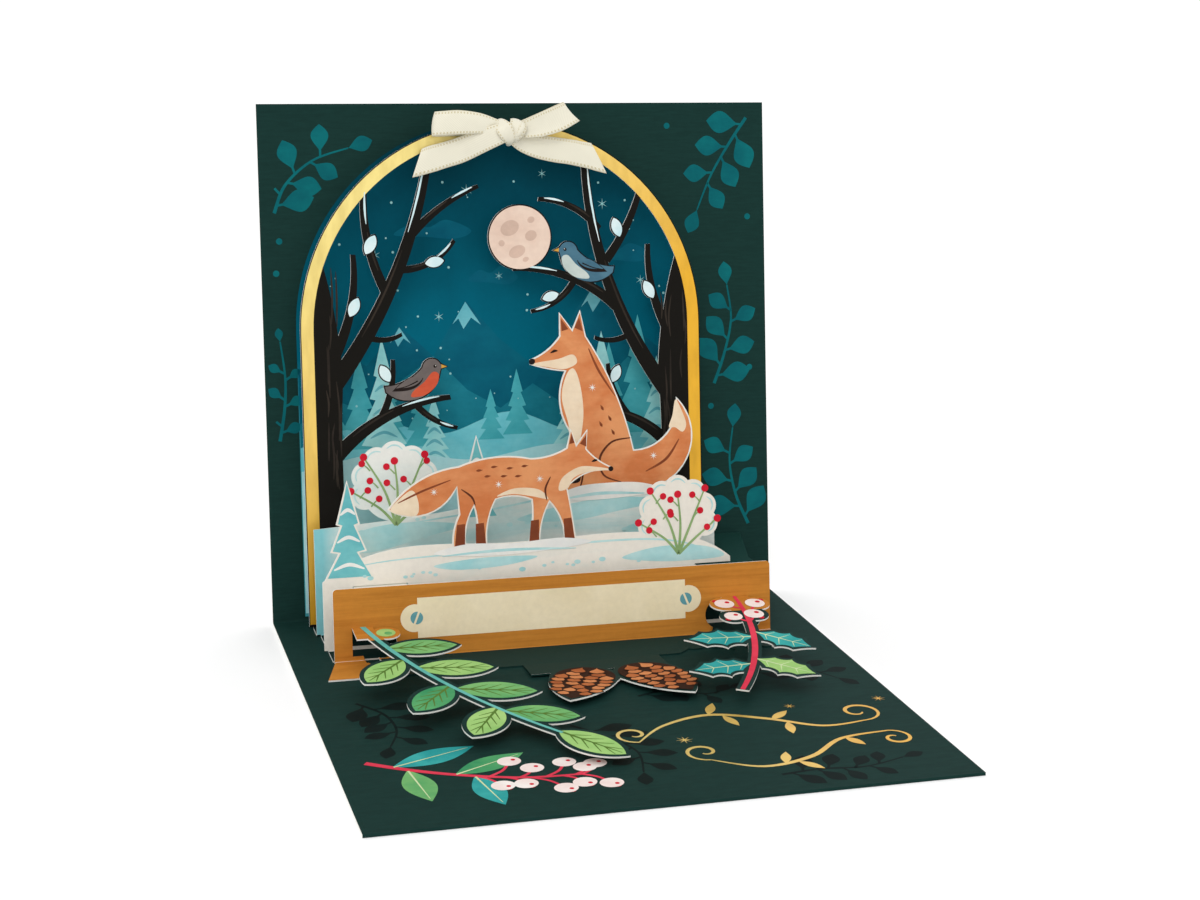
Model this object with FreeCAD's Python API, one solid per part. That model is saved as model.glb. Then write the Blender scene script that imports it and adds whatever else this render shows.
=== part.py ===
import FreeCAD, Part
import os
from math import cos, hypot, pi, radians, sin, tan

Vec = FreeCAD.Vector

# A pop up greeting card, open and standing. X runs along its fold, the base lies on the table
# and the back panel leans away along +Y. The origin is the middle of the base's underside.

# Card sheet, in millimetres
card_width = 133.35
base_depth = 130.0
panel_height = 130.0
card_sheet = 0.7
card_fold_radius = 0.8
panel_lean = 8.4

# Thin sheets of the scene
layer_sheet = 0.4
layer_fold_radius = 0.3
tab_inset = 1.0
tab_gap = 0.5
foot_rise = 3.0

# Distance of each standing sheet in front of the card's fold
arch_distance = 7.0
rear_scene_distance = 13.2
front_scene_distance = 25.4
band_distance = 33.0

# Arch sheet
arch_left_margin = 8.2
arch_half_width = 52.1
arch_springing = 73.7
arch_border = 3.3
arch_sill = 12.0
left_trunk_width = 7.0
right_trunk_width = 8.2
moon_radius = 8.4

# Scene sheets, cut short of the card's side edges by these margins
scene_left_margin = 9.1
scene_right_margin = 19.9
rear_ground = 33.0
front_ground = 23.5
bank_shoulder = 6.5
fox_scale = 0.86

# Band sheet
band_left_margin = 10.3
band_right_margin = 12.1
band_height = 17.5
band_corner = 1.0
band_tab_depth = 12.0
band_tab_flare = 3.4
flap_rise = 3.4
flap_joint_width = 34.0
flap_joint_depth = 4.0
flap_middle = 4.0

# Sprigs that stay flat across the band's fold
left_root_inset = 6.9
left_root_height = 8.0
left_root_size = (5.0, 7.0)
left_sprig_slope = 4.6
right_root_inset = 9.6
right_root_height = 9.0
right_root_size = (7.0, 9.5)
right_sprig_slope = 6.2
stem_width = 1.2
cut_margin = 1.1

# Struts between the back panel and the band
strut_sheet = 0.35
strut_height = 15.6
strut_tab = 6.0
strut_clearance = 0.3
left_strut_inset = 6.4
left_strut_width = 13.0
right_strut_inset = 1.6
right_strut_width = 15.5
right_strut_spread = 6.6
strut_waist = 19.8

# Ribbon bow
ribbon_width = 6.35
ribbon_thickness = 0.4
knot_offset = 7.0
knot_drop = 2.0
knot_size = (5.6, 7.4, 3.4)
knot_crown = 1.0
left_loop = (25.0, 174.0)
right_loop = (14.0, 21.0)
loop_bulge = 5.0
loop_turn = 1.3
loop_mouth = 0.9
loop_stand_off = 0.5
left_tail = (29.0, 194.0)
right_tail = (20.5, -19.0)
tail_rise = 1.6
tail_rest = 0.7
tail_cut = 4.0

# Places that follow from the sizes above
half_card = card_width / 2
fold_y = base_depth / 2
card_top = card_sheet
arch_centre = arch_left_margin + arch_half_width - half_card
scene_left = scene_left_margin - half_card
scene_right = half_card - scene_right_margin
scene_middle = (scene_left + scene_right) / 2
band_left = band_left_margin - half_card
band_right = half_card - band_right_margin
left_root = band_left + left_root_inset
right_root = band_right - right_root_inset
left_strut_from = band_left + left_strut_inset
left_strut_to = left_strut_from + left_strut_width
right_strut_to = band_right - right_strut_inset
right_strut_from = right_strut_to - right_strut_width
beyond = 2 * card_width


def point(u, v):
    return Vec(u, v, 0)


def through(points):
    """A straight edge through two points, an arc through three, a smooth curve through more."""
    if len(points) == 2:
        return Part.makeLine(*points)
    if len(points) == 3:
        return Part.Arc(*points).toShape()
    curve = Part.BSplineCurve()
    curve.interpolate(points)
    return curve.toShape()


def stretch(points):
    """The same through points given as (u, v)."""
    return through([point(*p) for p in points])


def moved_by(points, u, v, scale=1.0, side=1):
    """Points of a drawing, scaled, mirrored if side is -1, and moved to (u, v)."""
    return [(u + side * scale * x, v + scale * y) for x, y in points]


def outline(*stretches):
    """A flat face whose edge runs through the stretches in turn; corners lie between them."""
    return Part.Face(Part.Wire([stretch(points) for points in stretches]))


def drawn(runs, u, v, scale=1.0, side=1):
    """A closed outline from runs of points; each run starts where the one before it ended."""
    stretches = []
    last = runs[-1][-1]
    for run in runs:
        stretches.append(moved_by([last] + run, u, v, scale, side))
        last = run[-1]
    return outline(*stretches)


def polygon(*points):
    return Part.Face(Part.makePolygon([point(*p) for p in points + points[:1]]))


def disc(u, v, radius):
    return Part.Face(Part.Wire(Part.makeCircle(radius, point(u, v))))


def turned(face, u, v, angle):
    """A face drawn along +u from the origin, turned by the angle and moved to (u, v)."""
    placed = face.copy()
    placed.rotate(Vec(0, 0, 0), Vec(0, 0, 1), angle)
    placed.translate(point(u, v))
    return placed


def leaf(u, v, length, width, angle, grow=0.0):
    """A lance leaf: two arcs between its stalk and its tip."""
    start = point(-grow, 0)
    end = point(length + grow, 0)
    half = width / 2 + grow
    over = Part.Arc(start, point(length / 2, half), end).toShape()
    under = Part.Arc(end, point(length / 2, -half), start).toShape()
    return turned(Part.Face(Part.Wire([over, under])), u, v, angle)


def holly_side(length, half, side, grow, spikes):
    """One edge of a holly leaf: hollow arcs between its spikes, from stalk to tip."""
    step = (length + 2 * grow) / (spikes + 1)
    tips = [(-grow, 0.0)]
    for i in range(1, spikes + 1):
        reach = half * sin(pi * i / (spikes + 1)) + grow
        tips.append((-grow + i * step, side * reach))
    tips.append((length + grow, 0.0))
    edges = []
    for (u0, v0), (u1, v1) in zip(tips, tips[1:]):
        hollow = point((u0 + u1) / 2, 0.39 * (v0 + v1))
        edges.append(Part.Arc(point(u0, v0), hollow, point(u1, v1)).toShape())
    return edges


def holly(u, v, length, width, angle, grow=0.0, spikes=3):
    upper = holly_side(length, width / 2, 1, grow, spikes)
    lower = holly_side(length, width / 2, -1, grow, spikes)
    wire = Part.Wire(Part.__sortEdges__(upper + lower))
    return turned(Part.Face(wire), u, v, angle)


def cone(u, v, length, width, angle, grow=0.0):
    """An egg shape with its blunt end at (u, v)."""
    half = width / 2 + grow
    blunt = 0.38 * length
    sides = [(blunt, half), (0.72 * length, 0.74 * half), (length + grow, 0.0)]
    low = [(x, -y) for x, y in reversed(sides)]
    cap = Part.Arc(point(blunt, -half), point(-grow, 0), point(blunt, half)).toShape()
    wire = Part.Wire([cap, stretch(sides), stretch(low)])
    return turned(Part.Face(wire), u, v, angle)


def strip(points, start_width, end_width):
    """A tapered limb along the points."""
    count = len(points)
    left, right = [], []
    for i, (u, v) in enumerate(points):
        u0, v0 = points[max(i - 1, 0)]
        u1, v1 = points[min(i + 1, count - 1)]
        run = hypot(u1 - u0, v1 - v0)
        half = (start_width + (end_width - start_width) * i / (count - 1)) / 2
        du, dv = (u1 - u0) / run, (v1 - v0) / run
        left.append((u - dv * half, v + du * half))
        right.append((u + dv * half, v - du * half))
    return outline(left, [left[-1], right[-1]], right[::-1], [right[0], left[0]])


def scallops(u, v, radius, height, lobes):
    """A rounded shrub: a ring of discs round a middle one, flat below its ground line."""
    faces = [disc(u, v, radius)]
    for i in range(lobes):
        angle = radians(-12 + 204 * i / (lobes - 1))
        reach = radius * 0.92
        lobe = disc(u + reach * cos(angle), v + height * sin(angle), radius * 0.42)
        faces.append(lobe)
    return faces


def fir(u, v, height, width, tiers):
    """A stepped fir tree standing on (u, v)."""
    right = []
    for i in range(tiers):
        low = v + height * i / (tiers + 0.6)
        top = v + height * (i + 1.25) / (tiers + 0.6)
        reach = width / 2 * (1 - i / (tiers + 0.9))
        right.append((u + reach, low))
        right.append((u + reach * 0.42, top - 0.25 * (top - low)))
    right.append((u, v + height))
    left = [(2 * u - x, y) for x, y in reversed(right[:-1])]
    return polygon(*(right + left))


def plate(faces, thickness):
    """One flat sheet cut to the joined faces; its printed side is w = 0."""
    slabs = []
    for face in faces:
        slab = face.extrude(Vec(0, 0, thickness))
        slab.translate(Vec(0, 0, -thickness))
        slabs.append(slab)
    if len(slabs) == 1:
        return slabs[0]
    return slabs[0].multiFuse(slabs[1:]).removeSplitter()


def one_solid(*shapes):
    """The shapes joined into one clean solid."""
    joined = shapes[0].multiFuse(list(shapes[1:])).removeSplitter()
    return joined.Solids[0] if len(joined.Solids) == 1 else joined


def bent_strip(x_from, x_to, up, forward, sheet, inner_radius):
    """A sheet folded along X: flat forward of the corner, then rising at the panel's lean."""
    lean = radians(panel_lean)
    corner = (pi / 2 + lean) / 2
    tangent = inner_radius / tan(corner)
    rise = Vec(0, sin(lean), cos(lean))
    inward = Vec(0, -cos(lean), sin(lean))
    flat_end = Vec(0, -tangent, 0)
    rise_start = rise * tangent
    centre = Vec(0, -tangent, inner_radius)
    to_corner = (Vec(0, 0, 0) - centre).normalize()
    below = Vec(0, 0, -sheet)
    behind = inward * -sheet
    front = Vec(0, -forward, 0)
    top = rise * up
    inner_arc = Part.Arc(flat_end, centre + to_corner * inner_radius, rise_start).toShape()
    outer_mid = centre + to_corner * (inner_radius + sheet)
    outer_arc = Part.Arc(rise_start + behind, outer_mid, flat_end + below).toShape()
    wire = Part.Wire([
        Part.makeLine(front, flat_end),
        inner_arc,
        Part.makeLine(rise_start, top),
        Part.makeLine(top, top + behind),
        Part.makeLine(top + behind, rise_start + behind),
        outer_arc,
        Part.makeLine(flat_end + below, front + below),
        Part.makeLine(front + below, front),
    ])
    solid = Part.Face(wire).extrude(Vec(x_to - x_from, 0, 0))
    solid.translate(Vec(x_from, 0, 0))
    return solid


def stand(shape, distance):
    """Takes a sheet drawn in (u, v) to its standing place in front of the fold."""
    placed = shape.copy()
    placed.rotate(Vec(0, 0, 0), Vec(1, 0, 0), 90 - panel_lean)
    placed.translate(Vec(0, fold_y - distance, card_top + layer_sheet))
    return placed


def lay(shape, distance, height, slope):
    """Takes a sheet drawn in (u, y) to its lying place; y runs back, the slope falls forward."""
    placed = shape.copy()
    placed.translate(Vec(0, 0, layer_sheet))
    placed.rotate(Vec(0, 0, 0), Vec(1, 0, 0), slope)
    placed.translate(Vec(0, fold_y - distance, card_top + height))
    return placed


def foot_strip(x_from, x_to, distance, forward):
    """The folded foot of a standing sheet, with its glue tab on the base."""
    foot = bent_strip(x_from, x_to, foot_rise, forward, layer_sheet, layer_fold_radius)
    foot.translate(Vec(0, fold_y - distance, card_top + layer_sheet))
    return foot


def tab_depth(distance, next_distance):
    """Tab as deep as the room to the next sheet allows."""
    return next_distance - distance - layer_sheet - tab_gap


def strut_slot(x_from, x_to):
    """The cut that lets a strut pass through a standing sheet."""
    low = card_top + strut_height - strut_sheet - strut_clearance
    high = card_top + strut_height + strut_clearance
    back = fold_y + strut_height
    front = fold_y - (front_scene_distance + band_distance) / 2
    return Part.makeBox(x_to - x_from, back - front, high - low, Vec(x_from, front, low))


def strut_slots():
    left = strut_slot(left_strut_from - strut_clearance, left_strut_to + strut_clearance)
    right = strut_slot(right_strut_from - strut_clearance, half_card)
    return [left, right]


# Cover: one sheet folded once


def cover():
    sheet = bent_strip(-half_card, half_card, panel_height, base_depth, card_sheet, card_fold_radius)
    sheet.translate(Vec(0, fold_y, card_top))
    return sheet


# Arch sheet: border, two trees, a full moon and two birds


def arch_outline(inset):
    """The arch from its foot to its round top, drawn inset from the outer edge."""
    half = arch_half_width - inset
    left, right = arch_centre - half, arch_centre + half
    foot = layer_fold_radius
    return outline(
        [(left, foot), (right, foot)],
        [(right, foot), (right, arch_springing)],
        [(right, arch_springing), (arch_centre, arch_springing + half), (left, arch_springing)],
        [(left, arch_springing), (left, foot)],
    )


def trunk(side, width):
    """A tree trunk that grows out of the border and narrows into the arch's round."""
    edge = arch_centre + side * (arch_half_width - arch_border / 2)
    inner = arch_centre + side * (arch_half_width - arch_border - width)
    foot = layer_fold_radius
    waist = arch_springing - 12
    top = arch_springing + 0.58 * arch_half_width
    foot_inner = inner - side * 0.25 * width
    top_inner = inner + side * 1.2 * width
    return outline(
        [(edge, foot), (foot_inner, foot)],
        [(foot_inner, foot), (inner + side * 0.5, waist / 2), (inner, waist)],
        [(inner, waist), (inner + side * 0.35 * width, (waist + top) / 2), (top_inner, top)],
        [(top_inner, top), (edge, arch_springing)],
        [(edge, arch_springing), (edge, foot)],
    )


# What hangs in the arch is drawn from the middle of its round, for a round of this radius
drawn_radius = 52.1

# Each limb: three points of its arc, and its width at both ends
left_limbs = [
    ([(-44.6, -13.7), (-27.6, 14.3), (-18.2, 47.3)], 4.6, 2.0),
    ([(-30.1, 9.3), (-34.6, 22.3), (-35.2, 36.3)], 2.6, 1.6),
    ([(-23.1, 24.3), (-14.4, 31.6), (-6.1, 35.8)], 2.2, 1.0),
    ([(-44.6, -31.7), (-29.6, -20.7), (-14.6, -17.2)], 3.8, 1.3),
    ([(-33.1, -22.8), (-29.7, -14.4), (-29.1, -7.2)], 2.0, 1.1),
    ([(-23.6, -18.7), (-18.1, -23.2), (-13.0, -25.1)], 1.8, 1.0),
    ([(-43.6, -5.7), (-39.2, 6.3), (-38.4, 19.3)], 2.8, 1.3),
    ([(-27.1, 15.3), (-18.6, 17.0), (-12.6, 22.3)], 2.0, 1.0),
    ([(-36.6, -0.6), (-31.6, -2.2), (-26.6, -0.9)], 1.7, 1.0),
]

right_limbs = [
    ([(44.4, -19.7), (29.4, 6.3), (21.8, 45.3)], 4.6, 2.0),
    ([(30.9, 3.3), (17.4, 12.3), (2.4, 14.8)], 3.0, 1.2),
    ([(27.0, 16.3), (33.0, 25.5), (36.4, 34.0)], 2.4, 1.5),
    ([(25.4, 24.3), (17.4, 30.6), (9.4, 32.3)], 2.0, 1.1),
    ([(44.4, -3.7), (39.7, 7.3), (38.4, 20.3)], 2.8, 1.3),
    ([(44.4, -33.7), (30.4, -23.5), (15.4, -23.2)], 3.6, 1.3),
    ([(32.4, -24.0), (28.3, -16.7), (27.0, -10.2)], 2.0, 1.1),
    ([(18.4, 11.3), (12.9, 5.8), (6.9, 3.8)], 1.8, 1.0),
    ([(34.6, -1.6), (29.0, -4.2), (23.6, -3.4)], 1.7, 1.0),
]

# Each pad of snow: where it starts, its length, width and direction
snow_pads = [
    (-35.4, 19.0, 6.0, 3.4, 62), (-20.6, 16.6, 5.6, 3.2, 8), (-29.9, -13.0, 5.4, 3.2, 118),
    (-39.8, 3.6, 5.8, 3.3, 64), (31.0, 22.0, 5.8, 3.3, 108), (28.0, -15.4, 5.4, 3.2, 66),
    (39.8, 6.0, 5.8, 3.3, 118), (14.6, 8.2, 5.2, 3.0, 196),
]

moon_at = (4.4, 22.7)
birds = [(-22.1, -17.7, 1), (19.9, 10.9, -1)]

# A small round bird that looks to the right, from its tail along its belly and back
bird_runs = [
    [(-9.2, 2.2)],
    [(-2.5, -0.2), (4.9, 5.6)],
    [(5.4, 7.6)],
    [(7.1, 8.3)],
    [(5.3, 9.2)],
    [(2.8, 10.7), (0.2, 8.4)],
    [(-4.2, 5.2), (-9.6, 4.1)],
]


def in_round(u, v):
    """A point of the arch's drawing, taken to the sheet."""
    grow = arch_half_width / drawn_radius
    return arch_centre + grow * u, arch_springing + grow * v


def limb(points, start_width, end_width):
    return strip([in_round(*p) for p in points], start_width, end_width)


def arch_frame():
    ring = arch_outline(0).cut(arch_outline(arch_border)).Faces
    limbs = [limb(*each) for each in left_limbs + right_limbs]
    pads = [leaf(*in_round(u, v), *shape) for u, v, *shape in snow_pads]
    perched = [drawn(bird_runs, *in_round(u, v), side=side) for u, v, side in birds]
    trunks = [trunk(-1, left_trunk_width), trunk(1, right_trunk_width)]
    moon = disc(*in_round(*moon_at), moon_radius)
    art = plate(ring + trunks + limbs + pads + perched + [moon], layer_sheet)
    art = art.common(plate([arch_outline(0)], layer_sheet))
    left = arch_centre - arch_half_width
    right = arch_centre + arch_half_width
    foot = foot_strip(left + tab_inset, right - tab_inset, arch_distance,
                      tab_depth(arch_distance, rear_scene_distance))
    low, high = layer_fold_radius, arch_sill
    sill = plate([polygon((left, low), (right, low), (right, high), (left, high))], layer_sheet)
    sheet = one_solid(stand(art, arch_distance), stand(sill, arch_distance), foot)
    return sheet.cut(strut_slots())


# Rear scene sheet: snow bank, shrub and a sitting fox


def bank(height, crest):
    """Snow bank over the whole sheet. Its crest has points (share of the half width, rise)."""
    foot = layer_fold_radius
    edge = height - bank_shoulder
    half = scene_right - scene_middle
    over = [(scene_middle + share * half, height + rise) for share, rise in crest]
    return outline(
        [(scene_left, foot), (scene_right, foot)],
        [(scene_right, foot), (scene_right, edge)],
        [(scene_right, edge)] + over + [(scene_left, edge)],
        [(scene_left, edge), (scene_left, foot)],
    )


# A fox that sits looking left, with its tail curled up behind it
sitting_fox = [
    [(-9.0, -2.0)],
    [(-9.4, 1.2), (-7.6, 2.8)],
    [(-7.0, 8.5), (-7.8, 14.0)],
    [(-10.2, 22.5), (-8.6, 29.2)],
    [(-13.0, 29.9), (-17.6, 31.2)],
    [(-17.7, 32.5)],
    [(-13.2, 34.8), (-9.8, 38.2)],
    [(-9.7, 44.2)],
    [(-6.4, 39.8)],
    [(-4.2, 44.6)],
    [(-2.8, 38.0)],
    [(4.4, 24.4), (9.4, 8.4)],
    [(18.0, 12.0), (21.0, 21.5)],
    [(24.6, 7.4), (12.0, -2.0)],
]


def scene_sheet(faces, distance, next_distance):
    """A standing scene sheet with its tab, cut where the struts pass."""
    foot = foot_strip(scene_left + tab_inset, scene_right - tab_inset, distance,
                      tab_depth(distance, next_distance))
    sheet = one_solid(stand(plate(faces, layer_sheet), distance), foot)
    return sheet.cut(strut_slots())


def rear_scene():
    faces = [bank(rear_ground, [(0.88, -4.5), (0.46, 1.5), (-0.19, -2.5), (-0.84, -6)])]
    faces += scallops(scene_left + 20.6, rear_ground + 3, 8.5, 8.0, 7)
    faces += [drawn(sitting_fox, scene_right - 30.8, rear_ground + 1)]
    faces += [fir(scene_middle - 10.6, rear_ground - 6, 21, 11, 3)]
    return scene_sheet(faces, rear_scene_distance, front_scene_distance)


# Front scene sheet: snow bank, shrub, small fir and a walking fox

# A fox that walks to the right, from its tail along its legs, head and back
walking_fox = [
    [(-23.5, 8.8), (-13.9, 16.2)],
    [(-13.4, 8.6)],
    [(-15.0, 4.5), (-15.4, -1.4)],
    [(-11.4, -1.4)],
    [(-11.2, 5.0), (-9.0, 10.5)],
    [(-8.2, 4.6), (-9.0, -1.4)],
    [(-5.2, -1.4)],
    [(-4.9, 5.8), (-2.5, 12.2)],
    [(2.7, 12.9), (8.0, 11.6)],
    [(8.0, 5.0), (6.6, -1.4)],
    [(10.4, -1.4)],
    [(11.2, 5.4), (13.4, 10.6)],
    [(16.6, 5.2), (17.4, -1.4)],
    [(21.2, -1.4)],
    [(20.2, 6.4), (18.8, 14.6)],
    [(23.5, 17.9), (32.4, 18.7)],
    [(32.5, 19.9)],
    [(28.4, 22.2), (24.8, 25.6)],
    [(25.2, 31.2)],
    [(21.8, 27.0)],
    [(20.2, 31.6)],
    [(18.8, 26.2)],
    [(13.6, 24.2), (8.0, 23.7)],
    [(-3.0, 24.6), (-13.2, 22.4)],
    [(-25.0, 18.9), (-34.0, 11.0)],
]


def front_scene():
    faces = [bank(front_ground, [(0.88, -2.5), (0.57, 1), (-0.15, 0.5), (-0.8, -1)])]
    faces += scallops(scene_right - 13.8, front_ground + 4, 8.0, 7.6, 7)
    faces += [drawn(walking_fox, scene_middle - 6.6, front_ground + 0.8, fox_scale)]
    faces += [fir(scene_left + 6.6, front_ground - 6, 24, 12, 3)]
    return scene_sheet(faces, front_scene_distance, band_distance)


# Band sheet: a low upright band, its tab on the base, a flap of cones and two sprigs

# Each sprig is drawn from its root on the band; y runs back, so it falls towards -y.
# A leaf has its stalk's place, length, width and direction, and a berry its place and radius.
left_stem = [(0.0, 0.0), (11.0, -31.0), (32.5, -64.0)]
left_leaves = [
    (3.1, -13.6, 17.0, 7.6, -2), (5.8, -20.5, 14.5, 8.0, -134), (7.9, -25.5, 18.0, 8.4, -8),
    (13.9, -36.0, 15.5, 8.2, -132), (14.5, -38.0, 18.5, 8.4, -14),
    (21.9, -49.0, 15.0, 8.0, -124), (22.5, -51.0, 17.0, 8.0, -20),
    (31.9, -63.0, 17.5, 8.2, -50),
]
left_berries = [(4.9, -4.4, 2.3)]

right_stem = [(0.0, 0.0), (-4.5, -28.0), (-15.5, -50.0)]
right_leaves = [
    (-2.5, -23.5, 17.0, 9.0, 176), (-2.0, -21.0, 15.0, 8.4, -44),
    (-8.5, -37.5, 15.0, 8.4, -176), (-7.0, -35.0, 15.5, 8.4, -42),
]
right_berries = [(-4.0, -4.2, 2.6), (3.8, -5.0, 2.6), (1.4, -11.0, 2.6), (-4.2, -11.6, 2.4)]

# Each cone, drawn from the middle of the flap's joint: blunt end, length, width, direction
cones = [(-2.0, -6.0, 25.0, 14.0, -116), (8.0, -6.0, 25.0, 14.0, -72)]


def sprig_faces(root_u, root_size, stem, leaves, berries, shape):
    """A sprig's cut outline: everything printed, with a narrow margin round it."""
    widest = stem_width + 2 * cut_margin
    faces = [strip(moved_by(stem, root_u, 0), widest, 0.9 * widest)]
    faces += [shape(root_u + u, y, *size, grow=cut_margin) for u, y, *size in leaves]
    faces += [disc(root_u + u, y, radius + cut_margin) for u, y, radius in berries]
    width, depth = root_size
    left, right = root_u - width / 2, root_u + width / 2
    faces += [polygon((left, 0), (left, -depth), (right, -depth), (right, 0))]
    return faces


def in_front(faces, limit):
    """A sheet of the faces, cut off along a line: nothing of it reaches above y = limit."""
    room = Part.makeBox(beyond, beyond, 4, Vec(-beyond / 2, limit - beyond, -2))
    return plate(faces, layer_sheet).common(room)


def sprig_cutter(faces, root_height):
    """The hole that a sprig leaves, drawn on the unfolded sheet with the fold at v = 0."""
    cutters = []
    for face in faces:
        moved = face.copy()
        moved.translate(Vec(0, root_height, -2))
        cutters.append(moved.extrude(Vec(0, 0, 4)))
    limit = Part.makeBox(beyond, beyond, 4, Vec(-beyond / 2, root_height - beyond, -2))
    return cutters[0].multiFuse(cutters[1:]).common(limit)


def band_face():
    """The upright band, with its two upper corners rounded."""
    foot = layer_fold_radius
    r = band_corner
    bend = r * (1 - cos(pi / 4))
    top = band_height
    return outline(
        [(band_left, foot), (band_right, foot)],
        [(band_right, foot), (band_right, top - r)],
        [(band_right, top - r), (band_right - bend, top - bend), (band_right - r, top)],
        [(band_right - r, top), (band_left + r, top)],
        [(band_left + r, top), (band_left + bend, top - bend), (band_left, top - r)],
        [(band_left, top - r), (band_left, foot)],
    )


def band_tab():
    """The glue tab in front of the band, flared at its ends."""
    start = -layer_sheet - layer_fold_radius
    flared_left, flared_right = band_left - band_tab_flare, band_right + band_tab_flare
    ends = [(band_left, start), (band_right, start),
            (flared_right, -band_tab_depth), (flared_left, -band_tab_depth)]
    return lay(plate([polygon(*ends)], layer_sheet), band_distance, 0, 0)


def cone_flap():
    """The free flap that carries the cones, lifted a little off the base."""
    left, right = flap_middle - flap_joint_width / 2, flap_middle + flap_joint_width / 2
    front = -2 * flap_joint_depth
    faces = [polygon((left, 0), (left, front), (right, front), (right, 0))]
    for u, y, length, width, angle in cones:
        faces.append(cone(flap_middle + u, y, length, width, angle, grow=cut_margin))
    return lay(in_front(faces, 0), band_distance + band_tab_depth, 0, -flap_rise)


def sprig(faces, root_height, slope):
    """A sprig in its plane: rooted on the band and falling forward over the base."""
    lean = radians(panel_lean)
    root = in_front(faces, 0)
    back = root_height * sin(lean)
    up = root_height * cos(lean)
    return lay(root, band_distance - back - layer_sheet / 2, up, slope)


def front_band():
    left = sprig_faces(left_root, left_root_size, left_stem, left_leaves, left_berries, leaf)
    right = sprig_faces(right_root, right_root_size, right_stem, right_leaves, right_berries, holly)
    foot = foot_strip(band_left, band_right, band_distance, foot_rise)
    body = one_solid(stand(plate([band_face()], layer_sheet), band_distance), foot, band_tab(), cone_flap())
    holes = []
    for faces, root_height in ((left, left_root_height), (right, right_root_height)):
        hole = sprig_cutter(faces, root_height)
        holes.append(stand(hole, band_distance))
        holes.append(lay(hole, band_distance, 0, 0))
    body = body.cut(holes)
    body = one_solid(body, sprig(left, left_root_height, left_sprig_slope),
                     sprig(right, right_root_height, right_sprig_slope))
    return body


# Struts: narrow bridges that keep the sheets parallel to the back panel


def strut(x_from, x_to):
    lean = radians(panel_lean)
    skew = strut_sheet / cos(lean)
    high = card_top + strut_height
    low = high - strut_sheet
    end = low - strut_tab

    def on_panel(z):
        return fold_y + (z - card_top) * tan(lean)

    def on_band(z):
        front = fold_y - band_distance + (z - card_top - layer_sheet) * tan(lean)
        return front + layer_sheet / cos(lean)

    corners = [
        (on_panel(end), end), (on_panel(high), high), (on_band(high), high), (on_band(end), end),
        (on_band(end) + skew, end), (on_band(low) + skew, low),
        (on_panel(low) - skew, low), (on_panel(end) - skew, end),
    ]
    ring = [Vec(x_from, y, z) for y, z in corners + corners[:1]]
    return Part.Face(Part.makePolygon(ring)).extrude(Vec(x_to - x_from, 0, 0))


def right_strut():
    """The right strut, whose outer edge spreads towards the back panel."""
    wide = right_strut_to + right_strut_spread
    body = strut(right_strut_from, wide)
    behind = fold_y + strut_tab
    before = fold_y - band_distance - strut_tab
    waist = fold_y - strut_waist
    corners = [(right_strut_to, before), (right_strut_to, waist), (wide, behind),
               (beyond, behind), (beyond, before)]
    trim = polygon(*corners).extrude(Vec(0, 0, 2 * strut_height))
    return body.cut(trim)


# Ribbon bow: two loops, two tails and the knot, one ribbon


def ribbon_band(stretches):
    """A length of ribbon from its section, drawn in (u, w) where w stands off the sheet."""
    edges = [through([Vec(u, 0, w) for u, w in points]) for points in stretches]
    band = Part.Face(Part.Wire(edges)).extrude(Vec(0, ribbon_width, 0))
    band.translate(Vec(0, -ribbon_width / 2, 0))
    return band


def loop(length, angle):
    """A flattened loop that leaves the knot and comes back behind itself."""
    middle = loop_bulge / 2

    def teardrop(inset):
        mouth = loop_mouth - inset
        belly = loop_bulge / 2 - inset
        turn = loop_turn - inset
        bend = length - loop_turn
        return ribbon_band([
            [(0, middle - mouth), (0, middle + mouth)],
            [(0, middle + mouth), (length / 2, middle + belly), (bend, middle + turn)],
            [(bend, middle + turn), (bend + turn, middle), (bend, middle - turn)],
            [(bend, middle - turn), (length / 2, middle - belly), (0, middle - mouth)],
        ])

    ring = teardrop(0).cut(teardrop(ribbon_thickness))
    ring.translate(Vec(0, 0, loop_stand_off))
    ring.rotate(Vec(0, 0, 0), Vec(0, 0, 1), angle)
    return ring


def tail(length, angle, lean_of_cut):
    """A free end that hangs from the knot and is cut at a slant."""
    under = [(0, tail_rise), (length / 2, tail_rest + 0.1), (length + tail_cut, tail_rest)]
    over = [(u, w + ribbon_thickness) for u, w in reversed(under)]
    band = ribbon_band([under, [under[-1], over[0]], over, [over[-1], under[0]]])
    side = ribbon_width / 2
    slant = tail_cut / 2 * lean_of_cut
    far = length + 2 * tail_cut
    end = polygon((length + slant, side), (length - slant, -side), (far, -side), (far, side))
    band = band.cut(end.extrude(Vec(0, 0, 2 * loop_bulge)))
    band.rotate(Vec(0, 0, 0), Vec(0, 0, 1), angle)
    return band


def knot():
    """The turn of ribbon that holds the bow: flat on the sheet, round on top."""
    long, high, deep = knot_size
    side = deep - knot_crown
    section = [
        [(-long / 2, 0), (long / 2, 0)],
        [(long / 2, 0), (long / 2, side)],
        [(long / 2, side), (0, deep), (-long / 2, side)],
        [(-long / 2, side), (-long / 2, 0)],
    ]
    edges = [through([Vec(u, 0, w) for u, w in points]) for points in section]
    block = Part.Face(Part.Wire(edges)).extrude(Vec(0, high, 0))
    block.translate(Vec(0, -high / 2, 0))
    return block


def ribbon_bow():
    """The bow, with its knot on the crown of the arch sheet."""
    ends = [tail(*left_tail, 1), tail(*right_tail, -1)]
    bow = one_solid(knot(), loop(*left_loop), loop(*right_loop), *ends)
    crown = arch_springing + arch_half_width
    bow.translate(Vec(arch_centre + knot_offset, crown - knot_drop, 0))
    return stand(bow, arch_distance)


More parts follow.
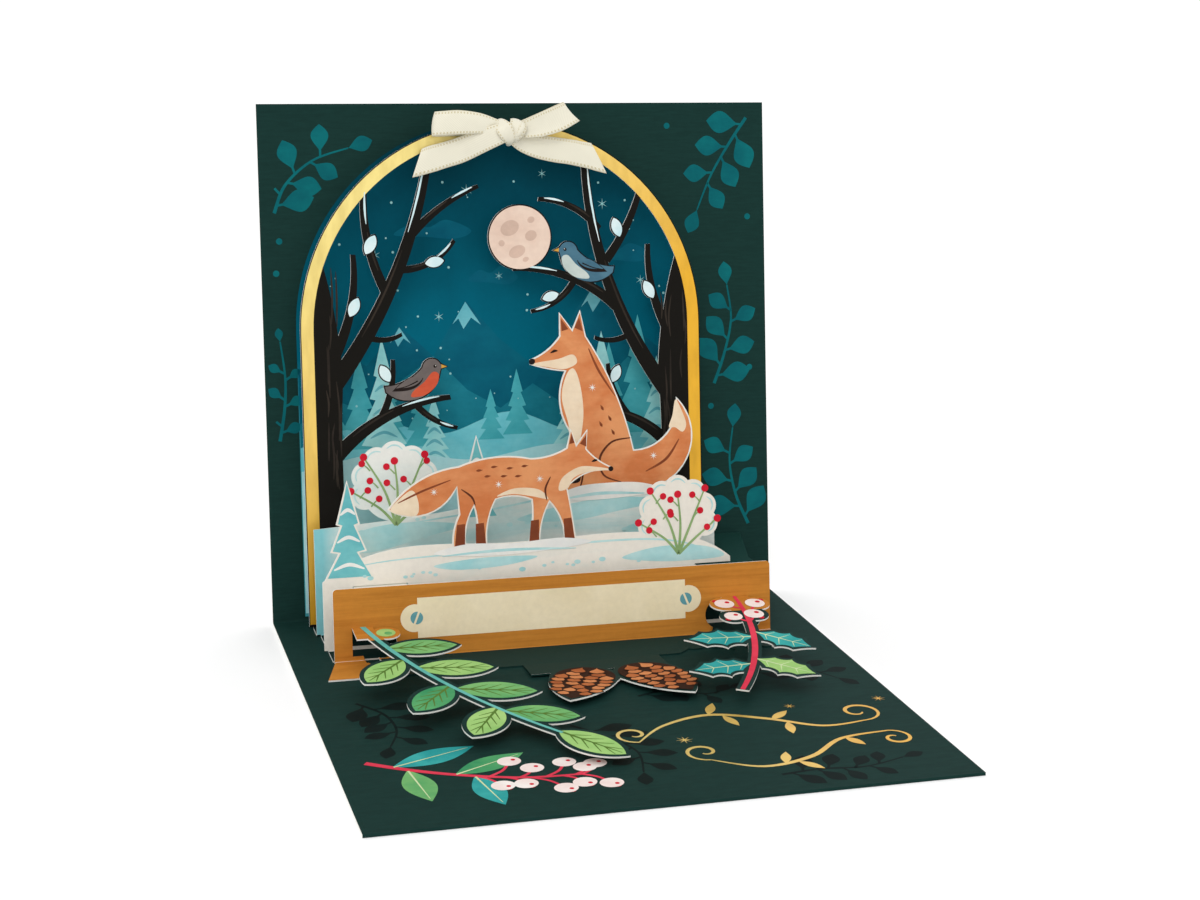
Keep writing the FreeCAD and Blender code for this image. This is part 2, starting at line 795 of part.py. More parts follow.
def main():
    os.makedirs("parts", exist_ok=True)
    nodes = {
        "cover": cover(),
        "arch_frame": arch_frame(),
        "rear_scene": rear_scene(),
        "front_scene": front_scene(),
        "front_band": front_band(),
        "left_strut": strut(left_strut_from, left_strut_to),
        "right_strut": right_strut(),
        "ribbon_bow": ribbon_bow(),
    }
    for name, shape in nodes.items():
        print(name, "solids", len(shape.Solids), "valid", shape.isValid(), "volume", round(shape.Volume, 1))
        shape.exportStep("parts/" + name + ".step")


main()
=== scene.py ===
import random
from math import atan2, cos, degrees, hypot, log, pi, radians, sin

import bpy
from mathutils import Matrix, Vector


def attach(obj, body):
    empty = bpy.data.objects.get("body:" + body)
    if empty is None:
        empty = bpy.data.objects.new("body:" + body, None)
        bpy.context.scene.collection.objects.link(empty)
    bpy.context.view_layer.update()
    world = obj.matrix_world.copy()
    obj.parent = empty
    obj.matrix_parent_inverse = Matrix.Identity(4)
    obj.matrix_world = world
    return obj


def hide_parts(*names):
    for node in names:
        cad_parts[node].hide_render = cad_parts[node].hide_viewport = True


MM = 0.001

# Card, as the frame holds it
FOLD_Y = 65.0
CARD_TOP = 0.7
SHEET = 0.4
LEAN = radians(8.4)

# Distance of each standing sheet in front of the card's fold
ARCH_AT, REAR_AT, FRONT_AT, BAND_AT = 7.0, 13.2, 25.4, 33.0

# Arch sheet
ARCH_CENTRE = -6.375
ARCH_RADIUS = 52.1
SPRINGING = 73.7
BORDER = 3.3

# Scene sheets, and the ground line of each
SCENE_LEFT, SCENE_RIGHT = -57.575, 46.775
SCENE_MIDDLE = (SCENE_LEFT + SCENE_RIGHT) / 2
REAR_GROUND, FRONT_GROUND = 33.0, 23.5
SHOULDER = 6.5
FOX_SCALE = 0.86

# Band sheet
TAB_DEPTH = 12.0
FLAP_MIDDLE, FLAP_RISE = 4.0, 3.4
LEFT_ROOT, LEFT_ROOT_HEIGHT, LEFT_SLOPE = -49.475, 8.0, 4.6
RIGHT_ROOT, RIGHT_ROOT_HEIGHT, RIGHT_SLOPE = 44.975, 9.0, 6.2

# Ribbon
RIBBON_WIDTH = 6.35

# Printed shapes lie this far over their sheet, and each layer this much over the last
INK_LIFT = 0.02
INK_STEP = 0.012
SHAPE_STEP = 0.0004
SHAPES_A_STEP = 12
CUT_MARGIN = 0.35

# Camera, as it was fitted to the card's corners in the photograph
CAMERA_AZIMUTH = -16.46
CAMERA_ELEVATION = 12.73
CAMERA_ROLL = 1.20
CAMERA_DISTANCE = 542.8
CAMERA_AIM = (18.07, 0.0, 54.12)
FOCAL_PIXELS = 2106.1
AXIS_ROW = 400.0
IMAGE_WIDTH = 1200.0
IMAGE_HEIGHT = 900.0
SENSOR = 36.0


def shade(red, green, blue):
    """A colour given as it looks on a screen, from 0 to 255, as the shader wants it."""
    def linear(value):
        value /= 255
        return value / 12.92 if value <= 0.04045 else ((value + 0.055) / 1.055) ** 2.4
    return (linear(red), linear(green), linear(blue), 1.0)


# Colours
GREEN_CARD = shade(23, 51, 47)
PAPER_WHITE = shade(232, 230, 222)
CUT_EDGE = shade(240, 239, 233)
TREE_BLACK = shade(25, 23, 20)
SNOW = shade(233, 226, 214)
SNOW_SHADE = shade(160, 208, 208)
BAND_BROWN = shade(190, 124, 48)
RIBBON_CREAM = shade(230, 225, 205)


# Places on the card: each takes (u, v) in a sheet and a lift off it to a point in the frame


def standing(distance, foot=CARD_TOP + SHEET):
    def place(u, v, lift):
        y = FOLD_Y - distance + v * sin(LEAN) - lift * cos(LEAN)
        return Vector((u, y, foot + v * cos(LEAN) + lift * sin(LEAN)))
    return place


def lying(distance, height, slope):
    angle = radians(slope)

    def place(u, v, lift):
        over = SHEET + lift
        y = FOLD_Y - distance + v * cos(angle) - over * sin(angle)
        return Vector((u, y, CARD_TOP + height + v * sin(angle) + over * cos(angle)))
    return place


def sprig_plane(root_height, slope):
    back = root_height * sin(LEAN)
    return lying(BAND_AT - back - SHEET / 2, root_height * cos(LEAN), slope)


def on_base(u, v, lift):
    return Vector((u, FOLD_Y + v, CARD_TOP + lift))


# Shapes in a sheet


def moved(points, u=0.0, v=0.0, angle=0.0, scale=1.0, side=1):
    c, s = cos(radians(angle)), sin(radians(angle))
    placed = []
    for x, y in points:
        x, y = side * scale * x, scale * y
        placed.append((u + x * c - y * s, v + x * s + y * c))
    return placed


def arc(start, middle, end, steps=10):
    """Points of the circle's arc through three points, without the last."""
    (ax, ay), (bx, by), (cx, cy) = start, middle, end
    d = 2 * (ax * (by - cy) + bx * (cy - ay) + cx * (ay - by))
    a2, b2, c2 = ax * ax + ay * ay, bx * bx + by * by, cx * cx + cy * cy
    x = (a2 * (by - cy) + b2 * (cy - ay) + c2 * (ay - by)) / d
    y = (a2 * (cx - bx) + b2 * (ax - cx) + c2 * (bx - ax)) / d
    radius = hypot(ax - x, ay - y)
    first, via, last = (atan2(q - y, p - x) for p, q in (start, middle, end))
    turn = (last - first) % (2 * pi)
    if (via - first) % (2 * pi) > turn:
        turn -= 2 * pi
    return [(x + radius * cos(first + turn * i / steps), y + radius * sin(first + turn * i / steps))
            for i in range(steps)]


def drawn(runs):
    """A closed outline from runs of points, one for a straight edge and two for an arc."""
    points = []
    last = runs[-1][-1]
    for run in runs:
        points += arc(last, *run) if len(run) == 2 else [last]
        last = run[-1]
    return points


def smooth(points, closed=False, steps=8):
    """A smooth line through the points."""
    ring = [points[-1]] + points + points[:2] if closed else [points[0]] + points + [points[-1]]
    line = []
    for i in range(len(points) if closed else len(points) - 1):
        a, b, c, d = ring[i:i + 4]
        for step in range(steps):
            t = step / steps
            line.append(tuple(
                0.5 * (2 * b[k] + (c[k] - a[k]) * t + (2 * a[k] - 5 * b[k] + 4 * c[k] - d[k]) * t * t
                       + (3 * b[k] - a[k] - 3 * c[k] + d[k]) * t ** 3) for k in (0, 1)))
    if not closed:
        line.append(points[-1])
    return line


def blob(*points):
    return smooth(list(points), closed=True)


def tapered(line, start, end, middle=None):
    """The outline of a brush stroke along a line."""
    left, right = [], []
    count = len(line) - 1
    for i, (u, v) in enumerate(line):
        u0, v0 = line[max(i - 1, 0)]
        u1, v1 = line[min(i + 1, count)]
        run = hypot(u1 - u0, v1 - v0) or 1.0
        t = i / count
        width = start + (end - start) * t
        if middle is not None:
            width += (middle - (start + end) / 2) * sin(pi * t)
        du, dv = (u1 - u0) / run * width / 2, (v1 - v0) / run * width / 2
        left.append((u - dv, v + du))
        right.append((u + dv, v - du))
    return left + right[::-1]


def stroke(points, start, end, middle=None):
    return tapered(smooth(list(points)), start, end, middle)


def limb_line(points):
    return arc(*points, 14) + [points[-1]]


def disc(u, v, radius, stretch=1.0, angle=0.0, steps=28):
    ring = [(radius * stretch * cos(2 * pi * i / steps), radius * sin(2 * pi * i / steps))
            for i in range(steps)]
    return moved(ring, u, v, angle)


def leaf(u, v, length, width, angle, steps=12):
    """A lance leaf of two arcs."""
    tip = (length, 0.0)
    ring = arc((0.0, 0.0), (length / 2, -width / 2), tip, steps)
    ring += arc(tip, (length / 2, width / 2), (0.0, 0.0), steps)
    return moved(ring, u, v, angle)


def petal(u, v, length, width, angle, full=0.62, steps=14):
    """A leaf that is widest at a share of its length."""
    power = log(0.5) / log(full)
    half = [width / 2 * sin(pi * (i / steps) ** power) for i in range(steps + 1)]
    low = [(length * i / steps, -half[i]) for i in range(steps + 1)]
    high = [(length * i / steps, half[i]) for i in range(steps - 1, 0, -1)]
    return moved(low + high, u, v, angle)


def holly(u, v, length, width, angle):
    """A holly leaf: hollow arcs between its spikes."""
    ring = []
    spikes = 3
    step = length / (spikes + 1)
    for side in (-1, 1):
        tips = [(i * step, side * width / 2 * sin(pi * i / (spikes + 1))) for i in range(spikes + 2)]
        if side > 0:
            tips.reverse()
        for (u0, v0), (u1, v1) in zip(tips, tips[1:]):
            ring += arc((u0, v0), ((u0 + u1) / 2, 0.39 * (v0 + v1)), (u1, v1), 6)
    return moved(ring, u, v, angle)


def cone(length, width):
    """An egg shape with its blunt end at the origin."""
    half = width / 2
    blunt = 0.38 * length
    shoulder = (0.72 * length, 0.74 * half)
    low = (shoulder[0], -shoulder[1])
    ring = arc((blunt, half), (0.0, 0.0), (blunt, -half), 16)
    ring += arc((blunt, -half), low, (length, 0.0), 12)
    ring += arc((length, 0.0), shoulder, (blunt, half), 12)
    return ring


def fir(u, v, height, width, tiers):
    right = []
    for i in range(tiers):
        low = v + height * i / (tiers + 0.6)
        top = v + height * (i + 1.25) / (tiers + 0.6)
        reach = width / 2 * (1 - i / (tiers + 0.9))
        right += [(u + reach, low), (u + reach * 0.42, top - 0.25 * (top - low))]
    right.append((u, v + height))
    return right + [(2 * u - x, y) for x, y in reversed(right[:-1])]


def star(u, v, radius, points=6, inner=0.16):
    ring = []
    for i in range(2 * points):
        reach = radius if i % 2 == 0 else radius * inner
        ring.append((u + reach * sin(pi * i / points), v + reach * cos(pi * i / points)))
    return ring


def area(points):
    return sum(a[0] * b[1] - b[0] * a[1] for a, b in zip(points, points[1:] + points[:1])) / 2


def inset(points, by=CUT_MARGIN):
    """The outline drawn in by a margin."""
    if area(points) < 0:
        points = points[::-1]
    clean = [p for p, q in zip(points, points[1:] + points[:1]) if hypot(q[0] - p[0], q[1] - p[1]) > 0.02]
    count = len(clean)
    ring = []
    for i, (u, v) in enumerate(clean):
        normals = []
        for (u0, v0), (u1, v1) in ((clean[i - 1], clean[i]), (clean[i], clean[(i + 1) % count])):
            run = hypot(u1 - u0, v1 - v0)
            normals.append((-(v1 - v0) / run, (u1 - u0) / run))
        (a, b), (c, d) = normals
        share = by / max(1 + a * c + b * d, 0.35)
        ring.append((u + share * (a + c), v + share * (b + d)))
    return ring


# Materials


class Shader:
    """A node material, with short calls that make its nodes and join them."""

    def __init__(self, name):
        self.material = bpy.data.materials.new(name)
        self.material.use_nodes = True
        self.tree = self.material.node_tree
        self.bsdf = self.tree.nodes["Principled BSDF"]
        self.place = self.node("ShaderNodeTexCoord").outputs["Object"]
        self.x, self.y, self.z = self.split(self.place)[:3]

    def node(self, kind, values=(), **settings):
        made = self.tree.nodes.new(kind)
        for name, value in settings.items():
            setattr(made, name, value)
        for key, value in dict(values).items():
            self.give(made.inputs[key], value)
        return made

    def give(self, socket, value):
        if isinstance(value, bpy.types.NodeSocket):
            self.tree.links.new(value, socket)
        else:
            socket.default_value = value

    def math(self, operation, a, b=0.0):
        return self.node("ShaderNodeMath", {0: a, 1: b}, operation=operation).outputs[0]

    def plus(self, a, b):
        return self.math("ADD", a, b)

    def minus(self, a, b):
        return self.math("SUBTRACT", a, b)

    def times(self, a, b):
        return self.math("MULTIPLY", a, b)

    def most(self, a, b):
        return self.math("MAXIMUM", a, b)

    def above(self, value, limit):
        return self.math("GREATER_THAN", value, limit)

    def below(self, value, limit):
        return self.math("LESS_THAN", value, limit)

    def split(self, vector):
        return self.node("ShaderNodeSeparateXYZ", {0: vector}).outputs

    def noise(self, scale, detail=4.0, roughness=0.6, stretch=None, distortion=0.0):
        vector = self.place
        if stretch is not None:
            vector = self.node("ShaderNodeMapping", {"Vector": vector, "Scale": stretch}).outputs[0]
        values = {"Vector": vector, "Scale": scale, "Detail": detail, "Roughness": roughness,
                  "Distortion": distortion}
        return self.node("ShaderNodeTexNoise", values).outputs["Fac"]

    def ramp(self, value, low, high):
        values = {"Value": value, "From Min": low, "From Max": high}
        return self.node("ShaderNodeMapRange", values, clamp=True).outputs["Result"]

    def mix(self, share, a, b, kind="MIX"):
        made = self.node("ShaderNodeMix", data_type="RGBA", blend_type=kind)
        for socket, value in ((made.inputs[0], share), (made.inputs[6], a), (made.inputs[7], b)):
            self.give(socket, value)
        return made.outputs[2]

    def blend(self, value, low, high, a, b):
        """From a where the value is low to b where it is high."""
        return self.mix(self.ramp(value, low, high), a, b)

    def faces(self, direction, limit=0.7):
        """1 where the surface's true normal turns to a direction by more than the limit."""
        normal = self.node("ShaderNodeNewGeometry").outputs["True Normal"]
        dot = self.node("ShaderNodeVectorMath", {0: normal, 1: direction}, operation="DOT_PRODUCT")
        return self.above(dot.outputs["Value"], limit)

    def bump(self, height, strength, distance):
        values = {"Height": height, "Strength": strength, "Distance": distance}
        self.give(self.bsdf.inputs["Normal"], self.node("ShaderNodeBump", values).outputs[0])

    def finish(self, colour, roughness, specular):
        self.give(self.bsdf.inputs["Base Color"], colour)
        self.give(self.bsdf.inputs["Roughness"], roughness)
        self.bsdf.inputs["Specular IOR Level"].default_value = specular
        return self.material


def toned(colour, factor):
    return tuple(min(1.0, c * factor) for c in colour[:3]) + (1.0,)


def card_surface(shader, colour, roughness=0.62, specular=0.04):
    """Fibre, mottling and tooth that every card and print has."""
    mottle = shader.ramp(shader.noise(700.0, 5.0), 0.3, 0.7)
    tone = shader.mix(mottle, (0.96, 0.96, 0.96, 1), (1.03, 1.03, 1.03, 1))
    colour = shader.mix(1.0, colour, tone, "MULTIPLY")
    tooth = shader.noise(4200.0, 3.0)
    shader.bump(tooth, 0.18, 0.00003)
    rough = shader.plus(shader.times(tooth, 0.12), roughness - 0.06)
    return shader.finish(colour, rough, specular)


# Directions that a sheet's sides face, and the places, in metres, where its colour changes
FRONT = (0.0, -cos(LEAN), sin(LEAN))
BACK = tuple(-c for c in FRONT)
UP = (0.0, 0.0, 1.0)
TAB_LEVEL = (CARD_TOP + SHEET + 0.25) * MM
BAND_FACE_Y = (FOLD_Y - BAND_AT - 0.9) * MM
ROOTS_TO_Y = (FOLD_Y - BAND_AT - 6.9) * MM
UNDER_ROOTS = 10.5 * MM
TAB_EDGE = (CARD_TOP + 0.85) * MM
TAB_BROWN_LEFT, TAB_BROWN_RIGHT = -45.2 * MM, 50.5 * MM
PANEL_EDGE = 120.0 * MM
SKY_LOW, SKY_MIDDLE, SKY_HIGH = 36.0 * MM, 66.0 * MM, 124.0 * MM


def sheet_material(name, print_colour):
    """A die-cut sheet: print on its front, dark tab, white core at its cut edges, plain back."""
    shader = Shader(name)
    low = shader.below(shader.z, TAB_LEVEL)
    tab = shader.times(shader.faces(UP), low)
    front = shader.faces(FRONT)
    back = shader.faces(BACK)
    plain = shader.mix(back, CUT_EDGE, PAPER_WHITE)
    colour = print_colour(shader) if callable(print_colour) else print_colour
    printed = shader.mix(front, plain, colour)
    return card_surface(shader, shader.mix(tab, printed, toned(GREEN_CARD, 0.75)))


def strut_material(name, colour):
    """A strip printed on the side that faces up and forward."""
    shader = Shader(name)
    printed = shader.most(shader.faces(FRONT), shader.faces(UP))
    return card_surface(shader, shader.mix(printed, PAPER_WHITE, colour))


def cover_material():
    """Dark green inside, plain outside, with white core at the cut edges."""
    shader = Shader("cover_card")
    inside_panel = shader.faces(FRONT, 0.3)
    inside_base = shader.faces(UP, 0.6)
    inside_base = shader.times(inside_base, shader.below(shader.z, PANEL_EDGE))
    inside = shader.most(inside_panel, inside_base)
    weave = shader.noise(900.0, 2.0, stretch=(0.25, 1.0, 2.2))
    green = shader.blend(weave, 0.35, 0.65, toned(GREEN_CARD, 0.93), toned(GREEN_CARD, 1.08))
    outside = shader.faces((0.0, 0.9, -0.4), 0.3)
    plain = shader.mix(outside, CUT_EDGE, PAPER_WHITE)
    return card_surface(shader, shader.mix(inside, plain, green))


def brown_print(shader):
    """Painted brown with long soft brush marks."""
    marks = shader.noise(60.0, 6.0, 0.7, stretch=(0.35, 1.0, 6.0))
    brown = shader.blend(marks, 0.3, 0.7, shade(172, 107, 38), shade(206, 138, 56))
    fine = shader.noise(500.0, 4.0, 0.6, stretch=(0.08, 1.0, 3.0))
    return shader.blend(fine, 0.45, 0.75, brown, toned(BAND_BROWN, 1.12))


def upright_face(shader):
    """The front of the band's upright part, without the cut edges in front of it."""
    return shader.times(shader.faces(FRONT), shader.above(shader.y, BAND_FACE_Y))


def tab_ends(shader):
    """The two ends of the band's tab, which are brown where the rest is dark green."""
    return shader.most(shader.below(shader.x, TAB_BROWN_LEFT), shader.above(shader.x, TAB_BROWN_RIGHT))


def band_print(shader):
    """Brown upright part and sprig roots, dark green on the tab, the flap and the fallen sprigs."""
    brown = brown_print(shader)
    on_root = shader.above(shader.y, ROOTS_TO_Y)
    low = shader.below(shader.z, TAB_LEVEL)
    on_tab = shader.mix(tab_ends(shader), GREEN_CARD, brown)
    on_sprig = shader.mix(on_root, GREEN_CARD, brown)
    flat = shader.mix(low, on_sprig, on_tab)
    return shader.mix(upright_face(shader), flat, brown)


def band_material():
    shader = Shader("band_card")
    flat = shader.times(shader.faces(UP, 0.95), shader.below(shader.z, UNDER_ROOTS))
    front = shader.most(upright_face(shader), flat)
    inked = shader.times(shader.below(shader.z, TAB_EDGE), shader.minus(1.0, tab_ends(shader)))
    edge = shader.mix(inked, CUT_EDGE, GREEN_CARD)
    return card_surface(shader, shader.mix(front, edge, band_print(shader)), 0.55, 0.06)


def snow_print(shader):
    """Off-white snow with soft pale teal washes that gather low on the sheet."""
    wash = shader.noise(45.0, 5.0, 0.65, stretch=(0.6, 1.0, 1.6), distortion=0.6)
    low = shader.ramp(shader.z, 0.034, 0.008)
    share = shader.times(shader.ramp(wash, 0.55, 0.95), low)
    return shader.mix(share, SNOW, SNOW_SHADE)


def rear_print(shader):
    """Off-white snow with pale teal washes, and a teal edge at its left."""
    wash = shader.noise(38.0, 5.0, 0.65, stretch=(0.5, 1.0, 1.8), distortion=0.8)
    share = shader.times(shader.ramp(wash, 0.4, 0.62), shader.ramp(shader.z, 0.045, 0.02))
    snow = shader.mix(share, shade(232, 231, 224), shade(178, 214, 214))
    return shader.blend(shader.x, -0.0500, -0.0555, snow, shade(134, 200, 206))


def ink(name, colour, other=None):
    """A printed colour: broad washes between two tones, with fine dry brush marks over them."""
    shader = Shader(name)
    other = other or toned(colour, 0.86)
    wash = shader.noise(95.0, 3.0, 0.5, distortion=0.5)
    brush = shader.noise(520.0, 3.0, 0.6, stretch=(0.4, 1.0, 1.3))
    share = shader.ramp(shader.plus(wash, shader.times(brush, 0.35)), 0.5, 0.85)
    return card_surface(shader, shader.mix(share, colour, other), 0.6)


def sky_ink():
    """Night sky that pales towards the ground."""
    shader = Shader("ink_sky")
    wash = shader.noise(30.0, 5.0, 0.6, distortion=0.8)
    level = shader.plus(shader.z, shader.times(shader.minus(wash, 0.5), 0.02))
    high = shader.blend(level, SKY_MIDDLE, SKY_HIGH, shade(0, 100, 122), shade(0, 48, 60))
    colour = shader.blend(level, SKY_LOW, SKY_MIDDLE, shade(70, 160, 170), high)
    return card_surface(shader, colour)


def foil_ink(name, rise, run, painted_shade_at, painted_highlight_at):
    """Gold foil that turns from rich to pale as its height and its place to the left grow: painted
    highlight towards the upper left, where the light falls, and painted shade lower and to the right.
    """
    shader = Shader(name)
    # Painted reflection of the light: the level grows towards the top and the left
    level = shader.minus(shader.times(shader.z, rise), shader.times(shader.x, run))
    gold = shader.blend(level, painted_shade_at, painted_highlight_at, shade(234, 176, 40), shade(246, 224, 138))
    streak = shader.noise(350.0, 3.0, 0.5, stretch=(1.0, 1.0, 0.3))
    fine = shader.blend(streak, 0.3, 0.6, (0.86, 0.84, 0.78, 1), (1.0, 1.0, 1.0, 1))
    gold = shader.mix(1.0, gold, fine, "MULTIPLY")
    shader.bump(streak, 0.06, 0.00004)
    shader.bsdf.inputs["Metallic"].default_value = 0.45
    rough = shader.plus(shader.times(streak, 0.14), 0.24)
    return shader.finish(gold, rough, 0.5)


def ribbon_material():
    """Satin: fine diagonal weave, with a row of picks just inside each selvedge, and painted shade in the
    gaps between the picks.
    """
    shader = Shader("ribbon")
    along, side = shader.split(shader.node("ShaderNodeUVMap").outputs[0])[:2]
    diagonal = shader.plus(shader.times(along, 1700.0), shader.times(side, 1700.0))
    twill = shader.math("SINE", shader.times(diagonal, 2 * pi))
    off_edge = shader.math("ABSOLUTE", shader.minus(shader.math("ABSOLUTE", side), 0.0026))
    row = shader.below(off_edge, 0.00024)
    picks = shader.math("SINE", shader.times(along, 2 * pi * 1250.0))
    weave = shader.times(twill, 0.3)
    height = shader.node("ShaderNodeMix", data_type="FLOAT")
    for socket, value in ((height.inputs[0], row), (height.inputs[2], weave), (height.inputs[3], picks)):
        shader.give(socket, value)
    shader.bump(height.outputs[0], 0.3, 0.00005)
    cream = shader.blend(shader.noise(260.0), 0.35, 0.65, RIBBON_CREAM, toned(RIBBON_CREAM, 1.06))
    cream = shader.blend(twill, -1.0, 1.0, toned(RIBBON_CREAM, 0.93), cream)
    # Painted shade: the row is darker in the low gaps between its raised picks
    gap_shade = shader.times(row, shader.ramp(picks, 0.2, -0.4))
    selvedge = shader.above(shader.math("ABSOLUTE", side), 0.00305)
    colour = shader.mix(shader.times(gap_shade, 0.85), cream, shade(198, 184, 142))
    colour = shader.mix(shader.times(selvedge, 0.6), colour, shade(214, 201, 164))
    shader.bsdf.inputs["Sheen Weight"].default_value = 0.15
    shader.bsdf.inputs["Sheen Roughness"].default_value = 0.35
    shader.bsdf.inputs["Anisotropic"].default_value = 0.4
    return shader.finish(colour, 0.36, 0.4)


# Each plain ink: its tone, and the tone of its washes if that isn't simply darker
PLAIN_INKS = {
    "teal_leaf": [(12, 104, 108), (8, 86, 94)],
    "tone_leaf": [(12, 24, 23), (15, 30, 29)],
    "far_peak": [(10, 98, 118), (6, 86, 108)],
    "near_peak": [(30, 122, 138), (20, 108, 126)],
    "peak_snow": [(120, 190, 198), (96, 172, 184)],
    "far_fir": [(84, 178, 186), (66, 162, 172)],
    "mist_fir": [(176, 228, 226), (146, 212, 214)],
    "near_fir": [(122, 193, 195), (98, 176, 182)],
    "pale_ground": [(190, 228, 230), (164, 216, 220)],
    "hill": [(126, 204, 212), (104, 190, 202)],
    "star": [(150, 205, 205)],
    "white": [(240, 236, 228), (226, 226, 222)],
    "snow_pad": [(196, 226, 230), (222, 236, 236)],
    "snow_shade": [(158, 208, 210), (190, 222, 220)],
    "bark": [(54, 47, 41), (42, 37, 33)],
    "moon": [(232, 208, 190), (222, 194, 176)],
    "moon_spot": [(214, 184, 166)],
    "fox": [(204, 120, 72), (222, 150, 100)],
    "fox_dark": [(140, 74, 46), (120, 62, 40)],
    "fox_line": [(98, 54, 38)],
    "cream": [(238, 218, 190), (226, 200, 168)],
    "dark": [(38, 30, 28)],
    "bird_breast": [(208, 92, 62), (190, 76, 54)],
    "bird_back": [(118, 108, 104), (98, 90, 88)],
    "bird_pale": [(206, 214, 208), (180, 194, 188)],
    "bird_blue": [(84, 124, 142), (64, 102, 122)],
    "beak": [(214, 160, 70)],
    "stem_green": [(150, 176, 120), (128, 160, 104)],
    "red_berry": [(214, 38, 56), (196, 28, 46)],
    "label": [(240, 226, 192), (234, 219, 182)],
    # painted shadow, printed where the band's cut-outs show the sheet behind
    "shadow_patch": [(19, 42, 39)],
    "label_dot": [(112, 168, 172), (92, 150, 158)],
    "leaf_light": [(166, 204, 124), (140, 188, 106)],
    "leaf_mid": [(92, 162, 100), (128, 184, 112)],
    "leaf_deep": [(58, 142, 94), (92, 166, 106)],
    "vein": [(92, 124, 54)],
    "stem_teal": [(112, 188, 178), (90, 170, 160)],
    "holly_teal": [(62, 168, 164), (40, 146, 146)],
    "holly_pale": [(206, 222, 172)],
    "coral": [(226, 66, 88), (208, 54, 76)],
    "berry": [(242, 234, 228), (236, 212, 206)],
    "cone_dark": [(56, 34, 26)],
    "cone_scale": [(190, 112, 66), (160, 88, 50)],
    "cone_light": [(214, 140, 90), (190, 116, 70)],
}
INKS = {}


def make_inks():
    for name, tones in PLAIN_INKS.items():
        INKS[name] = ink("ink_" + name, *(shade(*tone) for tone in tones))
    INKS["sky"] = sky_ink()
    # Both foils are painted with a highlight towards the left and shade towards the right
    INKS["foil"] = foil_ink("ink_foil", 0.6, 0.5, 0.03, 0.085)
    INKS["base_foil"] = foil_ink("ink_base_foil", 0.0, 1.0, -0.05, 0.0)


def make_mesh(name, vertices, faces):
    mesh = bpy.data.meshes.new(name)
    mesh.from_pydata(vertices, [], faces)
    piece = bpy.data.objects.new(name, mesh)
    bpy.context.scene.collection.objects.link(piece)
    return piece


# Printed art


class Art:
    """Printed shapes of one sheet: flat faces a hair over it, each with its ink."""

    def __init__(self, name, slot, place, limits=None):
        self.name, self.slot, self.place, self.limits = name, slot, place, limits
        self.vertices, self.faces, self.inks, self.used = [], [], [], []

    def face(self, points, ink_name):
        start = len(self.vertices)
        self.vertices += points
        self.faces.append(range(start, start + len(points)))
        if ink_name not in self.used:
            self.used.append(ink_name)
        self.inks.append(self.used.index(ink_name))

    def add(self, points, ink_name, layer=0):
        """One shape; a higher layer is printed over a lower one, and none crosses the sheet's limits."""
        if self.limits:
            left, right, low, high = self.limits
            if not all(left < u < right and low < v < high for u, v in points):
                return
        if area(points) < 0:
            points = points[::-1]
        lift = INK_LIFT + INK_STEP * layer + SHAPE_STEP * (len(self.faces) % SHAPES_A_STEP)
        self.face([self.place(u, v, lift) * MM for u, v in points], ink_name)

    def stamp(self, *at, **turn):
        """A call that adds shapes drawn round one point of the sheet."""
        def put(points, ink_name, layer):
            self.add(moved(points, *at, **turn), ink_name, layer)
        return put

    def ring(self, outer, inner, ink_name, layer):
        """The strip between two lines with as many points."""
        lift = INK_LIFT + INK_STEP * layer
        for i in range(len(outer) - 1):
            corners = (outer[i], outer[i + 1], inner[i + 1], inner[i])
            if area(list(corners)) < 0:
                corners = corners[::-1]
            self.face([self.place(u, v, lift) * MM for u, v in corners], ink_name)

    def finish(self):
        piece = make_mesh(self.name, self.vertices, self.faces)
        for name in self.used:
            piece.data.materials.append(INKS[name])
        piece.data.polygons.foreach_set("material_index", self.inks)
        piece.data.update()
        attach(piece, "root")


# Printed sprigs: the stem, its pairs of leaves, and a leaf's length and width
PANEL_SPRIGS = [
    ([(-63, 103), (-60, 110), (-53, 116), (-44, 119)], 3, 8.6, 5.6),
    ([(62, 126), (57, 119), (52, 111), (48, 102)], 3, 8.8, 5.8),
    ([(52, 56), (55, 64), (57, 73), (56, 82)], 3, 8.4, 5.4),
    ([(61, 18), (57.6, 26), (56, 35), (57, 44)], 3, 8.6, 5.6),
    ([(-63.4, 46), (-62.0, 54), (-61.6, 62), (-62.6, 71)], 3, 4.6, 2.9),
]
BASE_SPRIGS = [
    ([(-56, -60), (-51, -68), (-50, -78), (-53, -87)], 4, 9.0, 4.8),
    ([(-12, -84), (-6, -92), (-2, -102), (-4, -113)], 5, 9.0, 4.8),
    ([(38, -62), (46, -59), (53, -62), (58, -69)], 4, 8.4, 4.6),
    ([(8, -70), (16, -68), (24, -72), (30, -70)], 3, 7.6, 4.2),
    ([(24, -121), (33, -120), (43, -121), (53, -118)], 4, 7.6, 4.2),
]

# Printed firs behind the arch: foot, height and width
FAR_FIRS = [
    (-50, 44, 19, 9), (-43, 43, 24, 11), (-35, 45, 15, 8), (-27, 43, 20, 10), (-9, 44, 13, 7),
    (-2, 45, 17, 8), (23, 43, 25, 12), (31, 44, 31, 14), (38, 43, 22, 10), (14, 44, 15, 8),
]
NEAR_FIRS = [(-37, 38, 33, 14), (-24, 39, 17, 9), (12, 38, 22, 11), (21, 37, 34, 15), (36, 38, 26, 12)]

# The card's own prints keep inside these limits: left, right, low and high
PANEL_LIMITS = (-66.2, 66.2, 1.0, 129.4)
BASE_LIMITS = (-66.2, 66.2, -129.4, -1.0)


def tier_print(art, at, tiers, count, level, share, rise, brush, colour, layer):
    """A brush stroke of snow on each of a fir's lower tiers."""
    u, v, height, width = at
    for i in range(count):
        high = v + height * (i + level) / (tiers + 0.6)
        reach = width / 2 * (1 - i / (tiers + 0.9)) * share
        art.add(stroke([(u - reach, high), (u, high + rise), (u + reach, high)], *brush), colour, layer)


